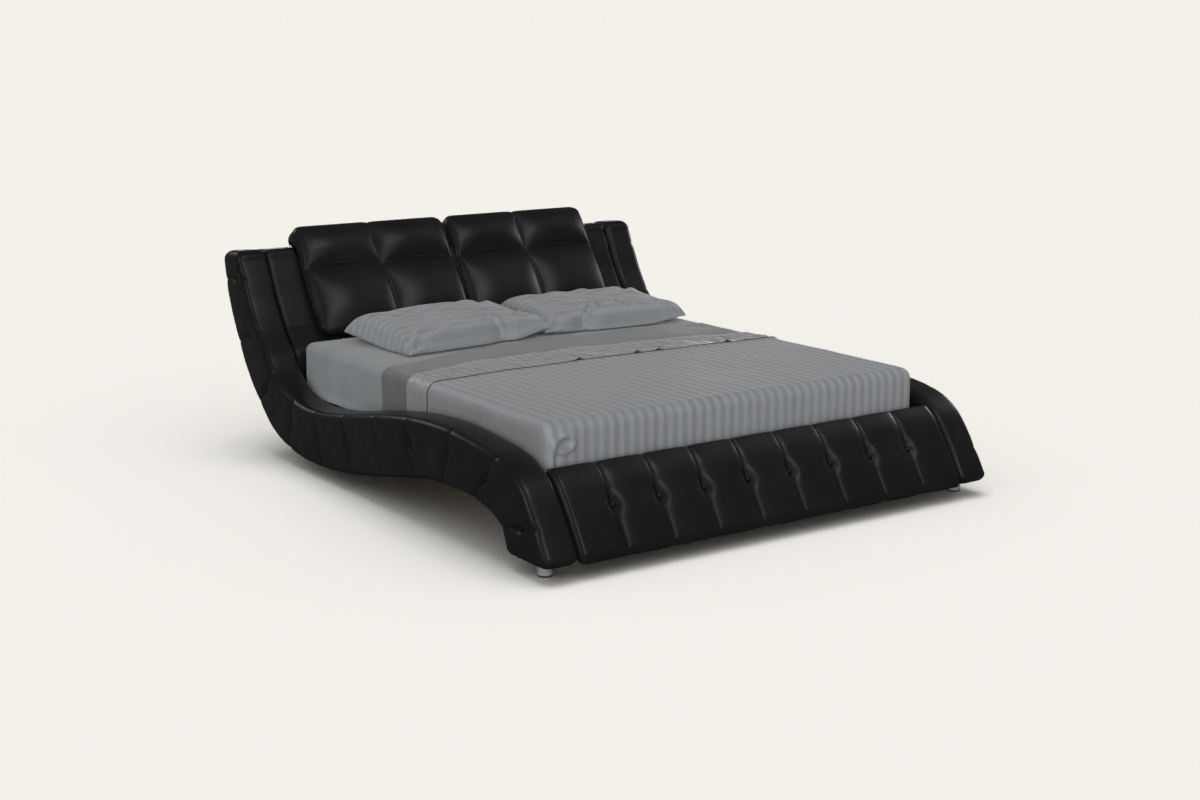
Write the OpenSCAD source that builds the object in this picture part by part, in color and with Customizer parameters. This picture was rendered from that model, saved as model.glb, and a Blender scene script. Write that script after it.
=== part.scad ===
// Low sleigh bed: two S-shaped padded side bands, a pleated foot panel, a leaning headboard
// with two tilting headrests, a slatted base, and a made-up mattress with two pillows.

/* [Mattress] */
// Width of the mattress
mattress_w = 1800; // [1400:50:2200]
// Length of the mattress
mattress_l = 2000; // [1900:50:2400]
// Thickness of the mattress
mattress_t = 215; // [160:5:260]
// Gap between the mattress and each side band
side_gap = 38; // [30:1:60]

/* [Frame] */
// Height of the headboard over the floor
bed_h = 885; // [740:5:1062]
// Height of the feet under the side bands
foot_h = 50; // [42:1:70]
// Width of each side band, across the bed
band_w = 147; // [120:1:190]
// Thickness of the plywood in the bands
board_t = 18; // [12:1:22]
// Thickness of the foam under the leather
foam_t = 25; // [15:1:30]
// Thickness of the leather
leather_t = 2; // [1:0.5:3]
// Diameter of the metal feet
foot_d = 57; // [40:1:70]
// Depth of the foot panel between the bands, front to back
panel_t = 40; // [33:1:50]
// How far the headboard's front stands back from the bands' front edge
headboard_recess = 15; // [8:1:25]

/* [Slats] */
// Number of slats on each half
slat_count = 13; // [9:1:15]
// Width of one slat
slat_w = 60; // [50:1:75]
// Thickness of one slat
slat_t = 12; // [8:1:16]
// Width of the centre beam
beam_w = 60; // [40:2:80]
// Height of the centre beam
beam_h = 40; // [30:2:60]

/* [Tufting] */
// Buttons along each side band
band_buttons = 11; // [7:1:13]
// Buttons along the foot panel
foot_buttons_n = 8; // [5:1:10]
// Diameter of a covered button
button_d = 24; // [16:1:30]

/* [Headrests] */
// Width of headboard left showing beside each headrest
headrest_reveal = 141; // [60:1:200]
// Thickness of the headrest below its top roll
headrest_t = 46; // [38:1:56]
// Diameter of the hinge pins
pin_d = 8; // [6:1:10]

/* [Bedding] */
// Bare sheet left beside and between the two pillows, in all
pillow_room = 280; // [230:10:500]
// Width of a pillow, along the bed
pillow_w = 500; // [400:10:520]
// Height of a plumped pillow
pillow_h = 140; // [100:5:170]

/* [Hidden] */

LEFT = -1;
RIGHT = 1;
skin = foam_t + leather_t;

// ---- Places along the bed: the overall box is centred on y = 0 ----
foot_reach = 277;    // from the mattress's foot end to the toes
head_reach = 434;    // from the mattress's head end to the back of the headboard
mattress_foot = foot_reach - (foot_reach + mattress_l + head_reach) / 2;
mattress_head = mattress_foot + mattress_l;
band_in = mattress_w / 2 + side_gap;    // inner face of a side band
band_out = band_in + band_w;
drawn_h = 885;       // the headboard height that the profile's heights are drawn for
drawn_foot = 50;

// ---- Side profile: matching points on the front and back edges, from toe to headboard ----
function up(z) = foot_h + (z - drawn_foot) * (bed_h - foot_h) / (drawn_h - drawn_foot);
function from_foot(d, z) = [mattress_foot + d, up(z)];
function along(share, z) = [mattress_foot + share * mattress_l, up(z)];
function from_head(d, z) = [mattress_head + d, up(z)];
front_edge = [
    from_foot(-foot_reach, 85), from_foot(-238, 150), from_foot(-184, 233), from_foot(-100, 333),
    from_foot(20, 392), from_foot(200, 419), along(0.215, 433), along(0.325, 424),
    along(0.445, 393), along(0.56, 352), along(0.67, 312), along(0.77, 288),
    from_head(-300, 292), from_head(-170, 322), from_head(-70, 374), from_head(8, 465),
    from_head(90, 555), from_head(160, 655), from_head(215, 760), from_head(262, 848)
];
back_edge = [
    from_foot(-5, 85), from_foot(15, 125), from_foot(45, 158), from_foot(100, 182),
    from_foot(200, 204), from_foot(340, 213), along(0.235, 208), along(0.295, 196),
    along(0.405, 156), along(0.51, 115), along(0.62, 77), along(0.735, 53),
    from_head(-280, 57), from_head(-70, 108), from_head(80, 207), from_head(200, 325),
    from_head(300, 465), from_head(370, 600), from_head(418, 725), from_head(head_reach, 836)
];
last = len(front_edge) - 1;
toe_round = 33;
toe_low = front_edge[0][1] - toe_round;
top_round = 42;
STEP = 1 / 3;        // one profile point every third of a station

function at(p, i) = p[max(0, min(len(p) - 1, i))];
function curve(p, t) =
    let (i = min(floor(t), len(p) - 2), u = t - i, a = at(p, i - 1), b = at(p, i),
         c = at(p, i + 1), d = at(p, i + 2))
    0.5 * (2 * b + (c - a) * u + (2 * a - 5 * b + 4 * c - d) * u * u
           + (3 * b - a - 3 * c + d) * u * u * u);
function unit(v) = v / norm(v);
function front_at(t) = curve(front_edge, t);
function back_at(t) = curve(back_edge, t);
function across(t) = unit(back_at(t) - front_at(t));
function middle(t) = (front_at(t) + back_at(t)) / 2;
function flip(p) = [for (i = [len(p) - 1:-1:0]) p[i]];
function in_front(t, d) = front_at(t) + d * across(t);
function in_back(t, d) = back_at(t) - d * across(t);
function path_front(t0, t1, d) = [for (t = [t0:STEP:t1 + 0.01]) in_front(t, d)];
function path_back(t0, t1, d) = [for (t = [t0:STEP:t1 + 0.01]) in_back(t, d)];
// Rounded end from p to q, bulging to the side of n
function end_cap(p, q, r, n) =
    let (u = unit(q - p))
    concat([for (a = [15:15:90]) p + r * (u * (1 - cos(a)) + n * sin(a))],
           [for (a = [90:15:165]) q + r * (-u * (1 + cos(a)) + n * sin(a))]);
function top_cap(d_front, d_back, r) =
    let (u = across(last)) end_cap(in_front(last, d_front), in_back(last, d_back), r, [-u[1], u[0]]);
// Outline of the band, drawn in by d on every side
function band_outline(d) =
    concat(path_front(0, last, d), top_cap(d, d, max(top_round - d, 1)),
           flip(path_back(0, last, d)),
           flip(end_cap(in_front(0, d), in_back(0, d), max(toe_round - d, 1), [0, -1])));

// Distance along the band's middle, and back again
FINE = 4;
middle_points = [for (i = [0:last * FINE]) middle(i / FINE)];
function run_to(i) = i == 0 ? 0 : run_to(i - 1) + norm(middle_points[i] - middle_points[i - 1]);
run_table = [for (i = [0:last * FINE]) [run_to(i), i / FINE]];
band_run = run_to(last * FINE);
first_button = 92;   // from the toe's first station
last_button = 86;    // before the last station
function button_station(k) =
    lookup(first_button + k * (band_run - first_button - last_button) / (band_buttons - 1), run_table);

// ---- Base ----
deck = up(280);      // top of the slats, under the mattress
holder_t = 3;
ledge = deck - slat_t - holder_t;
ledger_leg = 40;
ledger_t = 3;
rail_t = 45;
rail_h = 95;
rail_gap = 12;       // from the mattress's ends to the rails under it
foot_rail_y = mattress_foot + rail_gap;
head_rail_y = mattress_head - rail_gap - rail_t;
fit = 1;             // gap between parts that slot together at assembly
base_l = head_rail_y - foot_rail_y - rail_t;
bolt_d = 8;
bolt_hole = 8.6;
bracket_t = 4;
bracket_leg = 55;
screw_d = 5;
screw_hole = 5.2;
bolt_z = deck - 45;
bracket_y = [foot_rail_y + rail_t, head_rail_y - bracket_leg];
bolt_y = [foot_rail_y + rail_t + 32, head_rail_y - 32];
ledger_y0 = foot_rail_y + rail_t + bracket_leg + 8;
ledger_y1 = head_rail_y - bracket_leg - 8;
ledger_screw_n = 6;
ledger_screw_y = [for (i = [0:ledger_screw_n - 1])
    ledger_y0 + 40 + i * (ledger_y1 - ledger_y0 - 80) / (ledger_screw_n - 1)];
ledger_screw_z = ledge - 12;
pad_t = 6;
stud_d = 10;
stud_l = 24;
front_foot = [band_in + band_w / 2, mattress_foot - 160];
rear_leg = [band_in - 38, mattress_head + 98];
leg_y = [for (i = [1:3]) foot_rail_y + rail_t + i * base_l / 4];
leg_d = 38;

// ---- Headboard ----
headboard_half = band_in - fit;
headboard_low = 214;
behind_mattress = 12;
back_recess = 10;
headboard_round = 38;
ply_t = 5;
knee = 15;           // station where the headboard leaves the upright behind the mattress
tail = 14;           // station of its lower back edge
upright_top = 430;   // height where the upright behind the mattress turns into the lean
// Headboard section, drawn in by f at the front and b at the back and bottom
function headboard_front(f, b) =
    concat([[mattress_head + behind_mattress + f, up(headboard_low) + b],
            from_head(behind_mattress + f, upright_top)],
           path_front(knee, last, headboard_recess + f));
function headboard_outline(f, b) =
    concat(headboard_front(f, b),
           top_cap(headboard_recess + f, back_recess + b, max(headboard_round - max(f, b), 1)),
           flip(path_back(tail + 1 / 3, last, back_recess + b)),
           [[in_back(tail, back_recess + b)[0], up(headboard_low) + b]]);
core_front = skin + ply_t;
core_back = leather_t + 3;
rib_x = [-headboard_half + board_t / 2, -headboard_half / 2, 0, headboard_half / 2,
         headboard_half - board_t / 2];
rail_stations = [15.6, 18.4];
rail_seat = 2.5;     // room between a flat rail and the bent panel
rail_depth = 45;
rail_width = 60;
low_rail = [54, 70];

// ---- Headrests: local a runs up the face, b runs back from it ----
seat_low = from_head(45.7, 497.1);     // the headrests' backs lie on the line between these
seat_high = from_head(343.7, 960.1);
rest_l = norm(seat_high - seat_low) + 6;
rest_up = unit(seat_high - seat_low);
rest_back = [rest_up[1], -rest_up[0]];
rest_foot = seat_low - headrest_t * rest_back;
function rest(a, b) = rest_foot + a * rest_up + b * rest_back;
roll = headrest_t / 2;
pivot = rest(roll, roll);
lip_b = headrest_t + 57;     // depth of the top roll
face_round = 30;
lip_round = 20;
function rest_arc(ca, cb, r, a0, a1) = [for (w = [a0:15:a1]) rest(ca - r * cos(w), cb + r * sin(w))];
function headrest_outline(d) =
    concat(rest_arc(roll, roll, roll - d, -90, 90),
           [rest(rest_l - 96 + d, headrest_t - d), rest(rest_l - 61 + d, headrest_t + 29 - d)],
           rest_arc(rest_l - lip_round, lip_b - lip_round, lip_round - d, 90, 180),
           rest_arc(rest_l - face_round, face_round, face_round - d, 180, 270));
headrest_x0 = 5;             // half the gap between the two headrests
headrest_w = band_in - headrest_reveal - headrest_x0;
hinge_inset = 130;
hinge_x = [headrest_x0 + hinge_inset, headrest_x0 + headrest_w - hinge_inset];
ear_t = 6;
arm_t = 3;
arm_gap = 0.5;
pin_clear = 0.05;
boss_d = 22;
rest_board_t = 9;
rest_board_b = headrest_t - 15;
arm_start = 46;
arm_turn = 60;
arm_end = 150;
base_t0 = 15.12;
base_t1 = 15.9;
base_t = 3;
base_w = 44;
base_gap = 0.4;
hinge_screw_t = [15.28, 15.74];
hinge_screw_l = 60;

// ---- Bedding ----
mattress_top = deck + mattress_t;
sheet_t = 2;
flat_sheet_t = 3;
border_t = 4;
blanket_t = 6;
layer = 0.5;         // air between one layer and the next
flat_grow = sheet_t + layer;                   // how far the flat sheet stands off the mattress
top_grow = flat_grow + flat_sheet_t + layer;   // and the blanket
flat_edge = 0.725;   // share of the mattress's length, from the foot, where the flat sheet ends
border_edge = 0.59;
blanket_edge = 0.445;
tuck_z = deck + 22;  // how far down the covers are tucked at the sides
drape_z = up(340);   // how far down they hang at the foot
pillow_y = mattress_head - 305;
pillow_turn = [6, -3];
pillow_l = (mattress_w - pillow_room) / 2;
pillow_edge = [200, 15];     // from the mattress's sides to the left and right pillows
pillow_x = [-mattress_w / 2 + pillow_edge[0] + pillow_l / 2,
            mattress_w / 2 - pillow_edge[1] - pillow_l / 2];

// ---- Shared shapes ----
module profile(x0, x1) {
    translate([x0, 0, 0]) rotate([90, 0, 90]) linear_extrude(x1 - x0) children();
}
module side(s) {
    mirror([s == LEFT ? 1 : 0, 0, 0]) children();
}
module both_sides() {
    for (s = [LEFT, RIGHT]) side(s) children();
}
module x_rod(x0, x1, y, z, d) {
    translate([x0, y, z]) rotate([0, 90, 0]) cylinder(d = d, h = x1 - x0, $fn = 32);
}
module upright(x, y, z0, z1, d) {
    translate([x, y, z0]) cylinder(d = d, h = z1 - z0, $fn = 48);
}
module rounded_plate(x0, x1, y0, y1, r, z0, z1) {
    translate([0, 0, z0]) linear_extrude(z1 - z0) {
        translate([x0 + r, y0]) square([x1 - x0 - 2 * r, y1 - y0]);
        translate([x0, y0 + r]) square([x1 - x0, y1 - y0 - 2 * r]);
        for (x = [x0 + r, x1 - r], y = [y0 + r, y1 - r]) translate([x, y]) circle(r, $fn = 48);
    }
}
// A block across the profile at station t, c mm behind the front edge
module on_profile(t, c, depth, width, x0, x1) {
    profile(x0, x1) translate(in_front(t, c)) rotate(atan2(across(t)[1], across(t)[0]))
        translate([0, -width / 2]) square([depth, width]);
}

// ---- Side bands ----
tuft_depth = 14;             // how far the buttons are pulled in
cover_x = [band_in, band_out];
foam_x = [band_in + leather_t, band_out - leather_t];
boards_x = [foam_x[0], foam_x[1] - foam_t];
block_t = 45;
button_x = band_out - tuft_depth;    // foot of a button in its tuft
button_h = 9;
tuft_d = button_d + 8;
block_stations = [1.7, 2.9, 5.4, 7.4, 9.4, 11.2, 12.5, 14.8, 16.4, 18];
block_room = 13;
module tuft_holes() {
    for (k = [0:band_buttons - 1])
        let (p = middle(button_station(k))) x_rod(button_x, band_out + 1, p[0], p[1], tuft_d);
}
module band_bolt_holes() {
    for (y = bolt_y) x_rod(band_in - 1, boards_x[0] + board_t + 1, y, bolt_z, bolt_hole);
    for (y = ledger_screw_y)
        x_rod(band_in - 1, boards_x[0] + board_t + 1, y, ledger_screw_z, screw_hole);
    headboard_screw_holes();
}
module band_boards() {
    difference() {
        union() {
            profile(boards_x[0], boards_x[0] + board_t) polygon(band_outline(skin));
            profile(boards_x[1] - board_t, boards_x[1]) polygon(band_outline(skin));
        }
        band_bolt_holes();
    }
}
module band_blocks() {
    for (t = block_stations)
        on_profile(t, skin + block_room, norm(back_at(t) - front_at(t)) - 2 * (skin + block_room),
                   block_t, boards_x[0] + board_t, boards_x[1] - board_t);
    difference() {
        translate([boards_x[0] + board_t, front_foot[1] - 45, toe_low + skin + 2])
            cube([boards_x[1] - boards_x[0] - 2 * board_t, 90, 40]);
        upright(front_foot[0], front_foot[1], 0, toe_low + skin + stud_l - 2, stud_d + 0.4);
    }
}
module band_foam() {
    difference() {
        profile(foam_x[0], foam_x[1]) polygon(band_outline(leather_t));
        profile(foam_x[0] - 1, boards_x[1]) polygon(band_outline(skin));
        tuft_holes();
        upright(front_foot[0], front_foot[1], 0, toe_low + skin + stud_l - 2, stud_d + 0.4);
    }
}
module band_cover() {
    difference() {
        profile(cover_x[0], cover_x[1]) polygon(band_outline(0));
        profile(foam_x[0], foam_x[1]) polygon(band_outline(leather_t));
        tuft_holes();
        band_bolt_holes();
        upright(front_foot[0], front_foot[1], 0, toe_low + skin - 2, stud_d + 0.4);
    }
}
module button(h) {
    cylinder(d = button_d, h = h * 0.4, $fn = 32);
    translate([0, 0, h * 0.4]) cylinder(d1 = button_d, d2 = button_d * 0.6, h = h * 0.6, $fn = 32);
}
module band_button_row() {
    for (k = [0:band_buttons - 1])
        let (p = middle(button_station(k)))
            translate([button_x, p[0], p[1]]) rotate([0, 90, 0]) button(button_h);
}
module left_band_boards() { color("burlywood") side(LEFT) band_boards(); }
module right_band_boards() { color("burlywood") side(RIGHT) band_boards(); }
module left_band_blocks() { color("tan") side(LEFT) band_blocks(); }
module right_band_blocks() { color("tan") side(RIGHT) band_blocks(); }
module left_band_foam() { color("khaki") side(LEFT) band_foam(); }
module right_band_foam() { color("khaki") side(RIGHT) band_foam(); }
module left_band_cover() { color("#202020") side(LEFT) band_cover(); }
module right_band_cover() { color("#202020") side(RIGHT) band_cover(); }
module left_band_buttons() { color("#303030") side(LEFT) band_button_row(); }
module right_band_buttons() { color("#303030") side(RIGHT) band_button_row(); }

// ---- Headboard ----
module headboard_screw_holes() {
    for (t = [15.5, 17, 18.5])
        let (p = in_front(t, headboard_recess + core_front + 75))
            x_rod(headboard_half - board_t - 1, boards_x[0] + board_t + 1, p[0], p[1], screw_hole);
}
module low_rail_bar(grow) {
    translate([-headboard_half, mattress_head + 55 - grow, up(250) - grow])
        cube([2 * headboard_half, low_rail[0] + 2 * grow, low_rail[1] + 2 * grow]);
}
// The two upper rails lie flat against the back of the bent panel
module back_rail_bars(grow) {
    for (t = rail_stations) {
        depth = headboard_recess + core_front;
        run = in_front(t + 0.2, depth) - in_front(t - 0.2, depth);
        profile(-headboard_half, headboard_half) translate(in_front(t, depth))
            rotate(atan2(run[1], run[0])) translate([-rail_width / 2 - grow, -rail_depth - rail_seat - grow])
                square([rail_width + 2 * grow, rail_depth + 2 * grow]);
    }
}
module headboard_ribs() {
    color("burlywood") difference() {
        for (x = rib_x)
            profile(x - board_t / 2, x + board_t / 2)
                polygon(headboard_outline(core_front, core_back));
        low_rail_bar(0.2);
        back_rail_bars(0.2);
        both_sides() headboard_screw_holes();
        both_sides() upright(rear_leg[0], rear_leg[1], 0, up(250), foot_d + 2);
    }
}
module headboard_rails() {
    color("tan") difference() {
        union() {
            low_rail_bar(0);
            back_rail_bars(0);
        }
        hinge_screw_holes();
        both_sides() upright(rear_leg[0], rear_leg[1], 0, up(250) + stud_l, stud_d + 0.4);
        both_sides() headboard_screw_holes();
    }
}
module headboard_panel() {
    color("peru") difference() {
        profile(-headboard_half, headboard_half)
            polygon(concat(headboard_front(skin, skin), flip(headboard_front(core_front, skin))));
        hinge_screw_holes();
    }
}
module headboard_foam() {
    color("khaki") difference() {
        profile(-headboard_half, headboard_half)
            polygon(concat(headboard_front(leather_t, leather_t),
                           top_cap(headboard_recess + leather_t, back_recess + leather_t,
                                   headboard_round - leather_t),
                           flip(top_cap(headboard_recess + skin, back_recess + leather_t,
                                        headboard_round - skin)),
                           flip(headboard_front(skin, leather_t))));
        hinge_screw_holes();
    }
}
module headboard_cover() {
    color("#242424") difference() {
        profile(-headboard_half, headboard_half) polygon(headboard_outline(0, 0));
        profile(-headboard_half - 1, headboard_half + 1)
            polygon(headboard_outline(leather_t, leather_t));
        hinge_screw_holes();
        both_sides() upright(rear_leg[0], rear_leg[1], 0, up(250), foot_d + 2);
    }
}
module headboard_screws() {
    color("silver") both_sides() for (t = [15.5, 17, 18.5])
        let (p = in_front(t, headboard_recess + core_front + 75)) {
            x_rod(headboard_half - board_t, boards_x[0] + board_t - 2, p[0], p[1], screw_d);
            x_rod(headboard_half - board_t - 3, headboard_half - board_t, p[0], p[1], 2 * screw_d);
        }
}

// ---- Foot panel ----
panel_in = 3;                // set back from the bands' front edge
panel_clear = 10;            // from the panel's back to the covers
// Station of the panel's top edge, where its back is just clear of the covers
panel_top = max([for (t = [2:0.02:3.6])
    if (in_front(t, panel_in + panel_t)[0] < mattress_foot - top_grow - blanket_t - panel_clear) t]);
panel_half = band_in - panel_in;
panel_button_pitch = 2 * panel_half / (foot_buttons_n + 1);
panel_button_t = 1.95;
panel_low = 60;              // height of the panel's lower edge
panel_steps = 20;
// Line d behind the bands' front edge, stopping e short of the panel's two edges
function panel_line(d, e) =
    concat([[mattress_foot - foot_reach + 6 + d, up(panel_low) + e]],
           [for (i = [0:panel_steps - 1]) in_front(i * panel_top / panel_steps, d)],
           [in_front(panel_top - e / 100, d)]);
module panel_strip(d0, d1, x0, x1, e) {
    profile(x0, x1) polygon(concat(panel_line(d0, e), flip(panel_line(d1, e))));
}
module panel_tufts() {
    u = across(panel_button_t);
    p = in_front(panel_button_t, panel_in + tuft_depth);
    for (k = [1:foot_buttons_n])
        translate([-panel_half + k * panel_button_pitch, p[0], p[1]])
            rotate([90 + atan2(-u[1], u[0]), 0, 0]) children();
}
module foot_panel_board() {
    color("burlywood")
        panel_strip(panel_in + skin, panel_in + panel_t - leather_t, -panel_half + leather_t,
                    panel_half - leather_t, leather_t);
}
module foot_panel_foam() {
    color("khaki") difference() {
        panel_strip(panel_in + leather_t, panel_in + skin, -panel_half + leather_t,
                    panel_half - leather_t, leather_t);
        panel_tufts() cylinder(d = tuft_d, h = 30, $fn = 32);
    }
}
module foot_panel_cover() {
    color("#202020") difference() {
        panel_strip(panel_in, panel_in + panel_t, -panel_half, panel_half, 0);
        panel_strip(panel_in + leather_t, panel_in + panel_t - leather_t, -panel_half + leather_t,
                    panel_half - leather_t, leather_t);
        panel_tufts() cylinder(d = tuft_d, h = 30, $fn = 32);
    }
}
module foot_panel_buttons() {
    color("#303030") panel_tufts() button(button_h);
}
module panel_cleats() {
    back = panel_in + panel_t + 0.3;
    cleat = 30;
    color("tan") both_sides() profile(band_in - cleat, band_in)
        polygon(concat([for (t = [0.8:0.2:2.61]) in_front(t, back)],
                       flip([for (t = [0.8:0.2:2.61]) in_front(t, back + cleat)])));
}

// ---- Rails, brackets and ledgers ----
module cross_rail(y) {
    difference() {
        translate([-band_in + fit, y, ledge - rail_h]) cube([2 * (band_in - fit), rail_t, rail_h]);
        bracket_rail_bolts(bolt_hole);
    }
}
module foot_rail() { color("tan") cross_rail(foot_rail_y); }
module head_rail() { color("tan") cross_rail(head_rail_y); }
module bracket_rail_bolts(d) {
    both_sides() for (y = [foot_rail_y - 6, head_rail_y - 6])
        translate([band_in - 36, y, bolt_z]) rotate([-90, 0, 0])
            cylinder(d = d, h = rail_t + 12, $fn = 32);
}
module corner_brackets() {
    h = 60;
    color("dimgray") both_sides() difference() {
        for (i = [0, 1]) {
            translate([band_in - bracket_t, bracket_y[i], bolt_z - h / 2])
                cube([bracket_t, bracket_leg, h]);
            y = i == 0 ? foot_rail_y + rail_t : head_rail_y - bracket_t;
            translate([band_in - bracket_leg, y, bolt_z - h / 2]) cube([bracket_leg, bracket_t, h]);
        }
        for (y = bolt_y) x_rod(band_in - 10, band_in + 1, y, bolt_z, bolt_hole);
        bracket_rail_bolts(bolt_hole);
    }
}
module corner_bolts() {
    head = 5;
    color("silver") both_sides() {
        for (y = bolt_y) {
            x_rod(band_in - bracket_t - head, band_in - bracket_t, y, bolt_z, 1.7 * bolt_d);
            x_rod(band_in - bracket_t, boards_x[0] + board_t + 8, y, bolt_z, bolt_d);
            x_rod(boards_x[0] + board_t, boards_x[0] + board_t + 6, y, bolt_z, 1.7 * bolt_d);
        }
        for (i = [0, 1]) {
            y0 = i == 0 ? foot_rail_y : head_rail_y - bracket_t;
            translate([band_in - 36, y0 - head, bolt_z]) rotate([-90, 0, 0]) {
                cylinder(d = 1.7 * bolt_d, h = head, $fn = 32);
                cylinder(d = bolt_d, h = rail_t + bracket_t + 2 * head, $fn = 32);
                translate([0, 0, rail_t + bracket_t + head])
                    cylinder(d = 1.7 * bolt_d, h = head, $fn = 32);
            }
        }
    }
}
module ledger() {
    difference() {
        union() {
            translate([band_in - ledger_t, ledger_y0, ledge - ledger_leg])
                cube([ledger_t, ledger_y1 - ledger_y0, ledger_leg]);
            translate([band_in - ledger_leg, ledger_y0, ledge - ledger_t])
                cube([ledger_leg, ledger_y1 - ledger_y0, ledger_t]);
        }
        for (y = ledger_screw_y) x_rod(band_in - 10, band_in + 1, y, ledger_screw_z, screw_hole);
    }
}
module left_ledger() { color("dimgray") side(LEFT) ledger(); }
module right_ledger() { color("dimgray") side(RIGHT) ledger(); }
module ledger_screws() {
    color("silver") both_sides() for (y = ledger_screw_y) {
        x_rod(band_in - ledger_t - 2.5, band_in - ledger_t, y, ledger_screw_z, 2 * screw_d);
        x_rod(band_in - ledger_t, boards_x[0] + board_t - 2, y, ledger_screw_z, screw_d);
    }
}
module centre_beam() {
    wall = 2;
    y0 = foot_rail_y + rail_t + fit;
    color("dimgray") difference() {
        translate([-beam_w / 2, y0, ledge - beam_h]) cube([beam_w, base_l - 2 * fit, beam_h]);
        translate([-beam_w / 2 + wall, y0 - 1, ledge - beam_h + wall])
            cube([beam_w - 2 * wall, base_l, beam_h - 2 * wall]);
    }
}
module beam_hangers() {
    wall = 3;
    cup = 50;
    gap = 0.5;
    color("gray") for (y = [foot_rail_y + rail_t, head_rail_y - cup])
        difference() {
            translate([-beam_w / 2 - gap - wall, y, ledge - beam_h - wall])
                cube([beam_w + 2 * (gap + wall), cup, beam_h]);
            translate([-beam_w / 2 - gap, y - 1, ledge - beam_h])
                cube([beam_w + 2 * gap, cup + 2, beam_h + 10]);
        }
}
module centre_legs() {
    plate = 4;
    color("dimgray") for (y = leg_y) {
        upright(0, y, pad_t, ledge - beam_h - plate / 2, leg_d);
        translate([-beam_w / 2, y - 40, ledge - beam_h - plate]) cube([beam_w, 80, plate]);
    }
}

// ---- Slats ----
slat_y = [for (i = [0:slat_count - 1])
    ledger_y0 + slat_w / 2 + 6 + i * (ledger_y1 - ledger_y0 - slat_w - 12) / (slat_count - 1)];
slat_x = [6, band_in - 10];
holder_wall = 2.5;
holder_l = 32;
module slat_row() {
    for (y = slat_y)
        translate([slat_x[0], y - slat_w / 2, deck - slat_t])
            cube([slat_x[1] - slat_x[0], slat_w, slat_t]);
}
module left_slats() { color("wheat") side(LEFT) slat_row(); }
module right_slats() { color("wheat") side(RIGHT) slat_row(); }
module slat_holder(x0, x1, y) {
    translate([x0, y - slat_w / 2 - holder_wall, ledge])
        cube([x1 - x0, slat_w + 2 * holder_wall, holder_t + slat_t - 3]);
}
module slat_holders() {
    color("#3a3a3a") difference() {
        for (y = slat_y) {
            both_sides() slat_holder(band_in - ledger_leg + 2, band_in - 6, y);
            slat_holder(-beam_w / 2 + 2, beam_w / 2 - 2, y);
        }
        both_sides() slat_row();
    }
}

// ---- Feet ----
module front_feet() {
    color("silver") both_sides() {
        upright(front_foot[0], front_foot[1], pad_t, toe_low, foot_d);
        upright(front_foot[0], front_foot[1], toe_low, toe_low + skin + stud_l - 4, stud_d);
    }
}
module rear_legs() {
    color("silver") both_sides() {
        upright(rear_leg[0], rear_leg[1], pad_t, up(250), foot_d);
        upright(rear_leg[0], rear_leg[1], up(250), up(250) + stud_l - 2, stud_d);
    }
}
module floor_pads() {
    color("#181818") {
        both_sides() for (p = [front_foot, rear_leg]) upright(p[0], p[1], 0, pad_t, foot_d - 4);
        for (y = leg_y) upright(0, y, 0, pad_t, leg_d + 4);
    }
}

// ---- Headrest hinges ----
module hinge_places(s) {
    side(s) for (x = hinge_x) translate([x, 0, 0]) children();
}
// Cylinders along the base plates' screws, starting lead mm in front of the plates
module hinge_screw_rods(d, lead, l) {
    for (s = [LEFT, RIGHT]) hinge_places(s) for (t = hinge_screw_t) {
        p = in_front(t, headboard_recess - base_gap - base_t - lead);
        u = across(t);
        for (x = [-14, 14])
            translate([x, p[0], p[1]]) rotate([-90 + atan2(u[1], u[0]), 0, 0])
                cylinder(d = d, h = l, $fn = 24);
    }
}
module hinge_screw_holes() {
    hinge_screw_rods(screw_hole, 5, hinge_screw_l + 5);
}
module hinge_base() {
    foot = in_front((base_t0 + base_t1) / 2, headboard_recess - base_gap - base_t / 2);
    dir = unit(foot - pivot);
    wide = [-dir[1], dir[0]] * boss_d / 2;
    difference() {
        union() {
            profile(-base_w / 2, base_w / 2)
                polygon(concat([for (t = [base_t0:0.13:base_t1 + 0.01])
                                    in_front(t, headboard_recess - base_gap - base_t)],
                               flip([for (t = [base_t0:0.13:base_t1 + 0.01])
                                    in_front(t, headboard_recess - base_gap)])));
            profile(-ear_t / 2, ear_t / 2) {
                polygon([pivot + wide, foot + wide, foot - wide, pivot - wide]);
                translate(pivot) circle(d = boss_d, $fn = 48);
            }
        }
        x_rod(-ear_t, ear_t, pivot[0], pivot[1], pin_d + 2 * pin_clear);
    }
}
module hinge_bases(s) {
    difference() {
        hinge_places(s) hinge_base();
        hinge_screw_holes();
    }
}
module left_hinge_bases() { color("gray") hinge_bases(LEFT); }
module right_hinge_bases() { color("gray") hinge_bases(RIGHT); }
module hinge_screws() {
    head = 2;
    seat = 1.25;         // the heads stand this much off the bent plates
    color("silver") {
        hinge_screw_rods(screw_d, head + seat, hinge_screw_l);
        hinge_screw_rods(2 * screw_d - 1, head + seat, head);
    }
}
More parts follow.
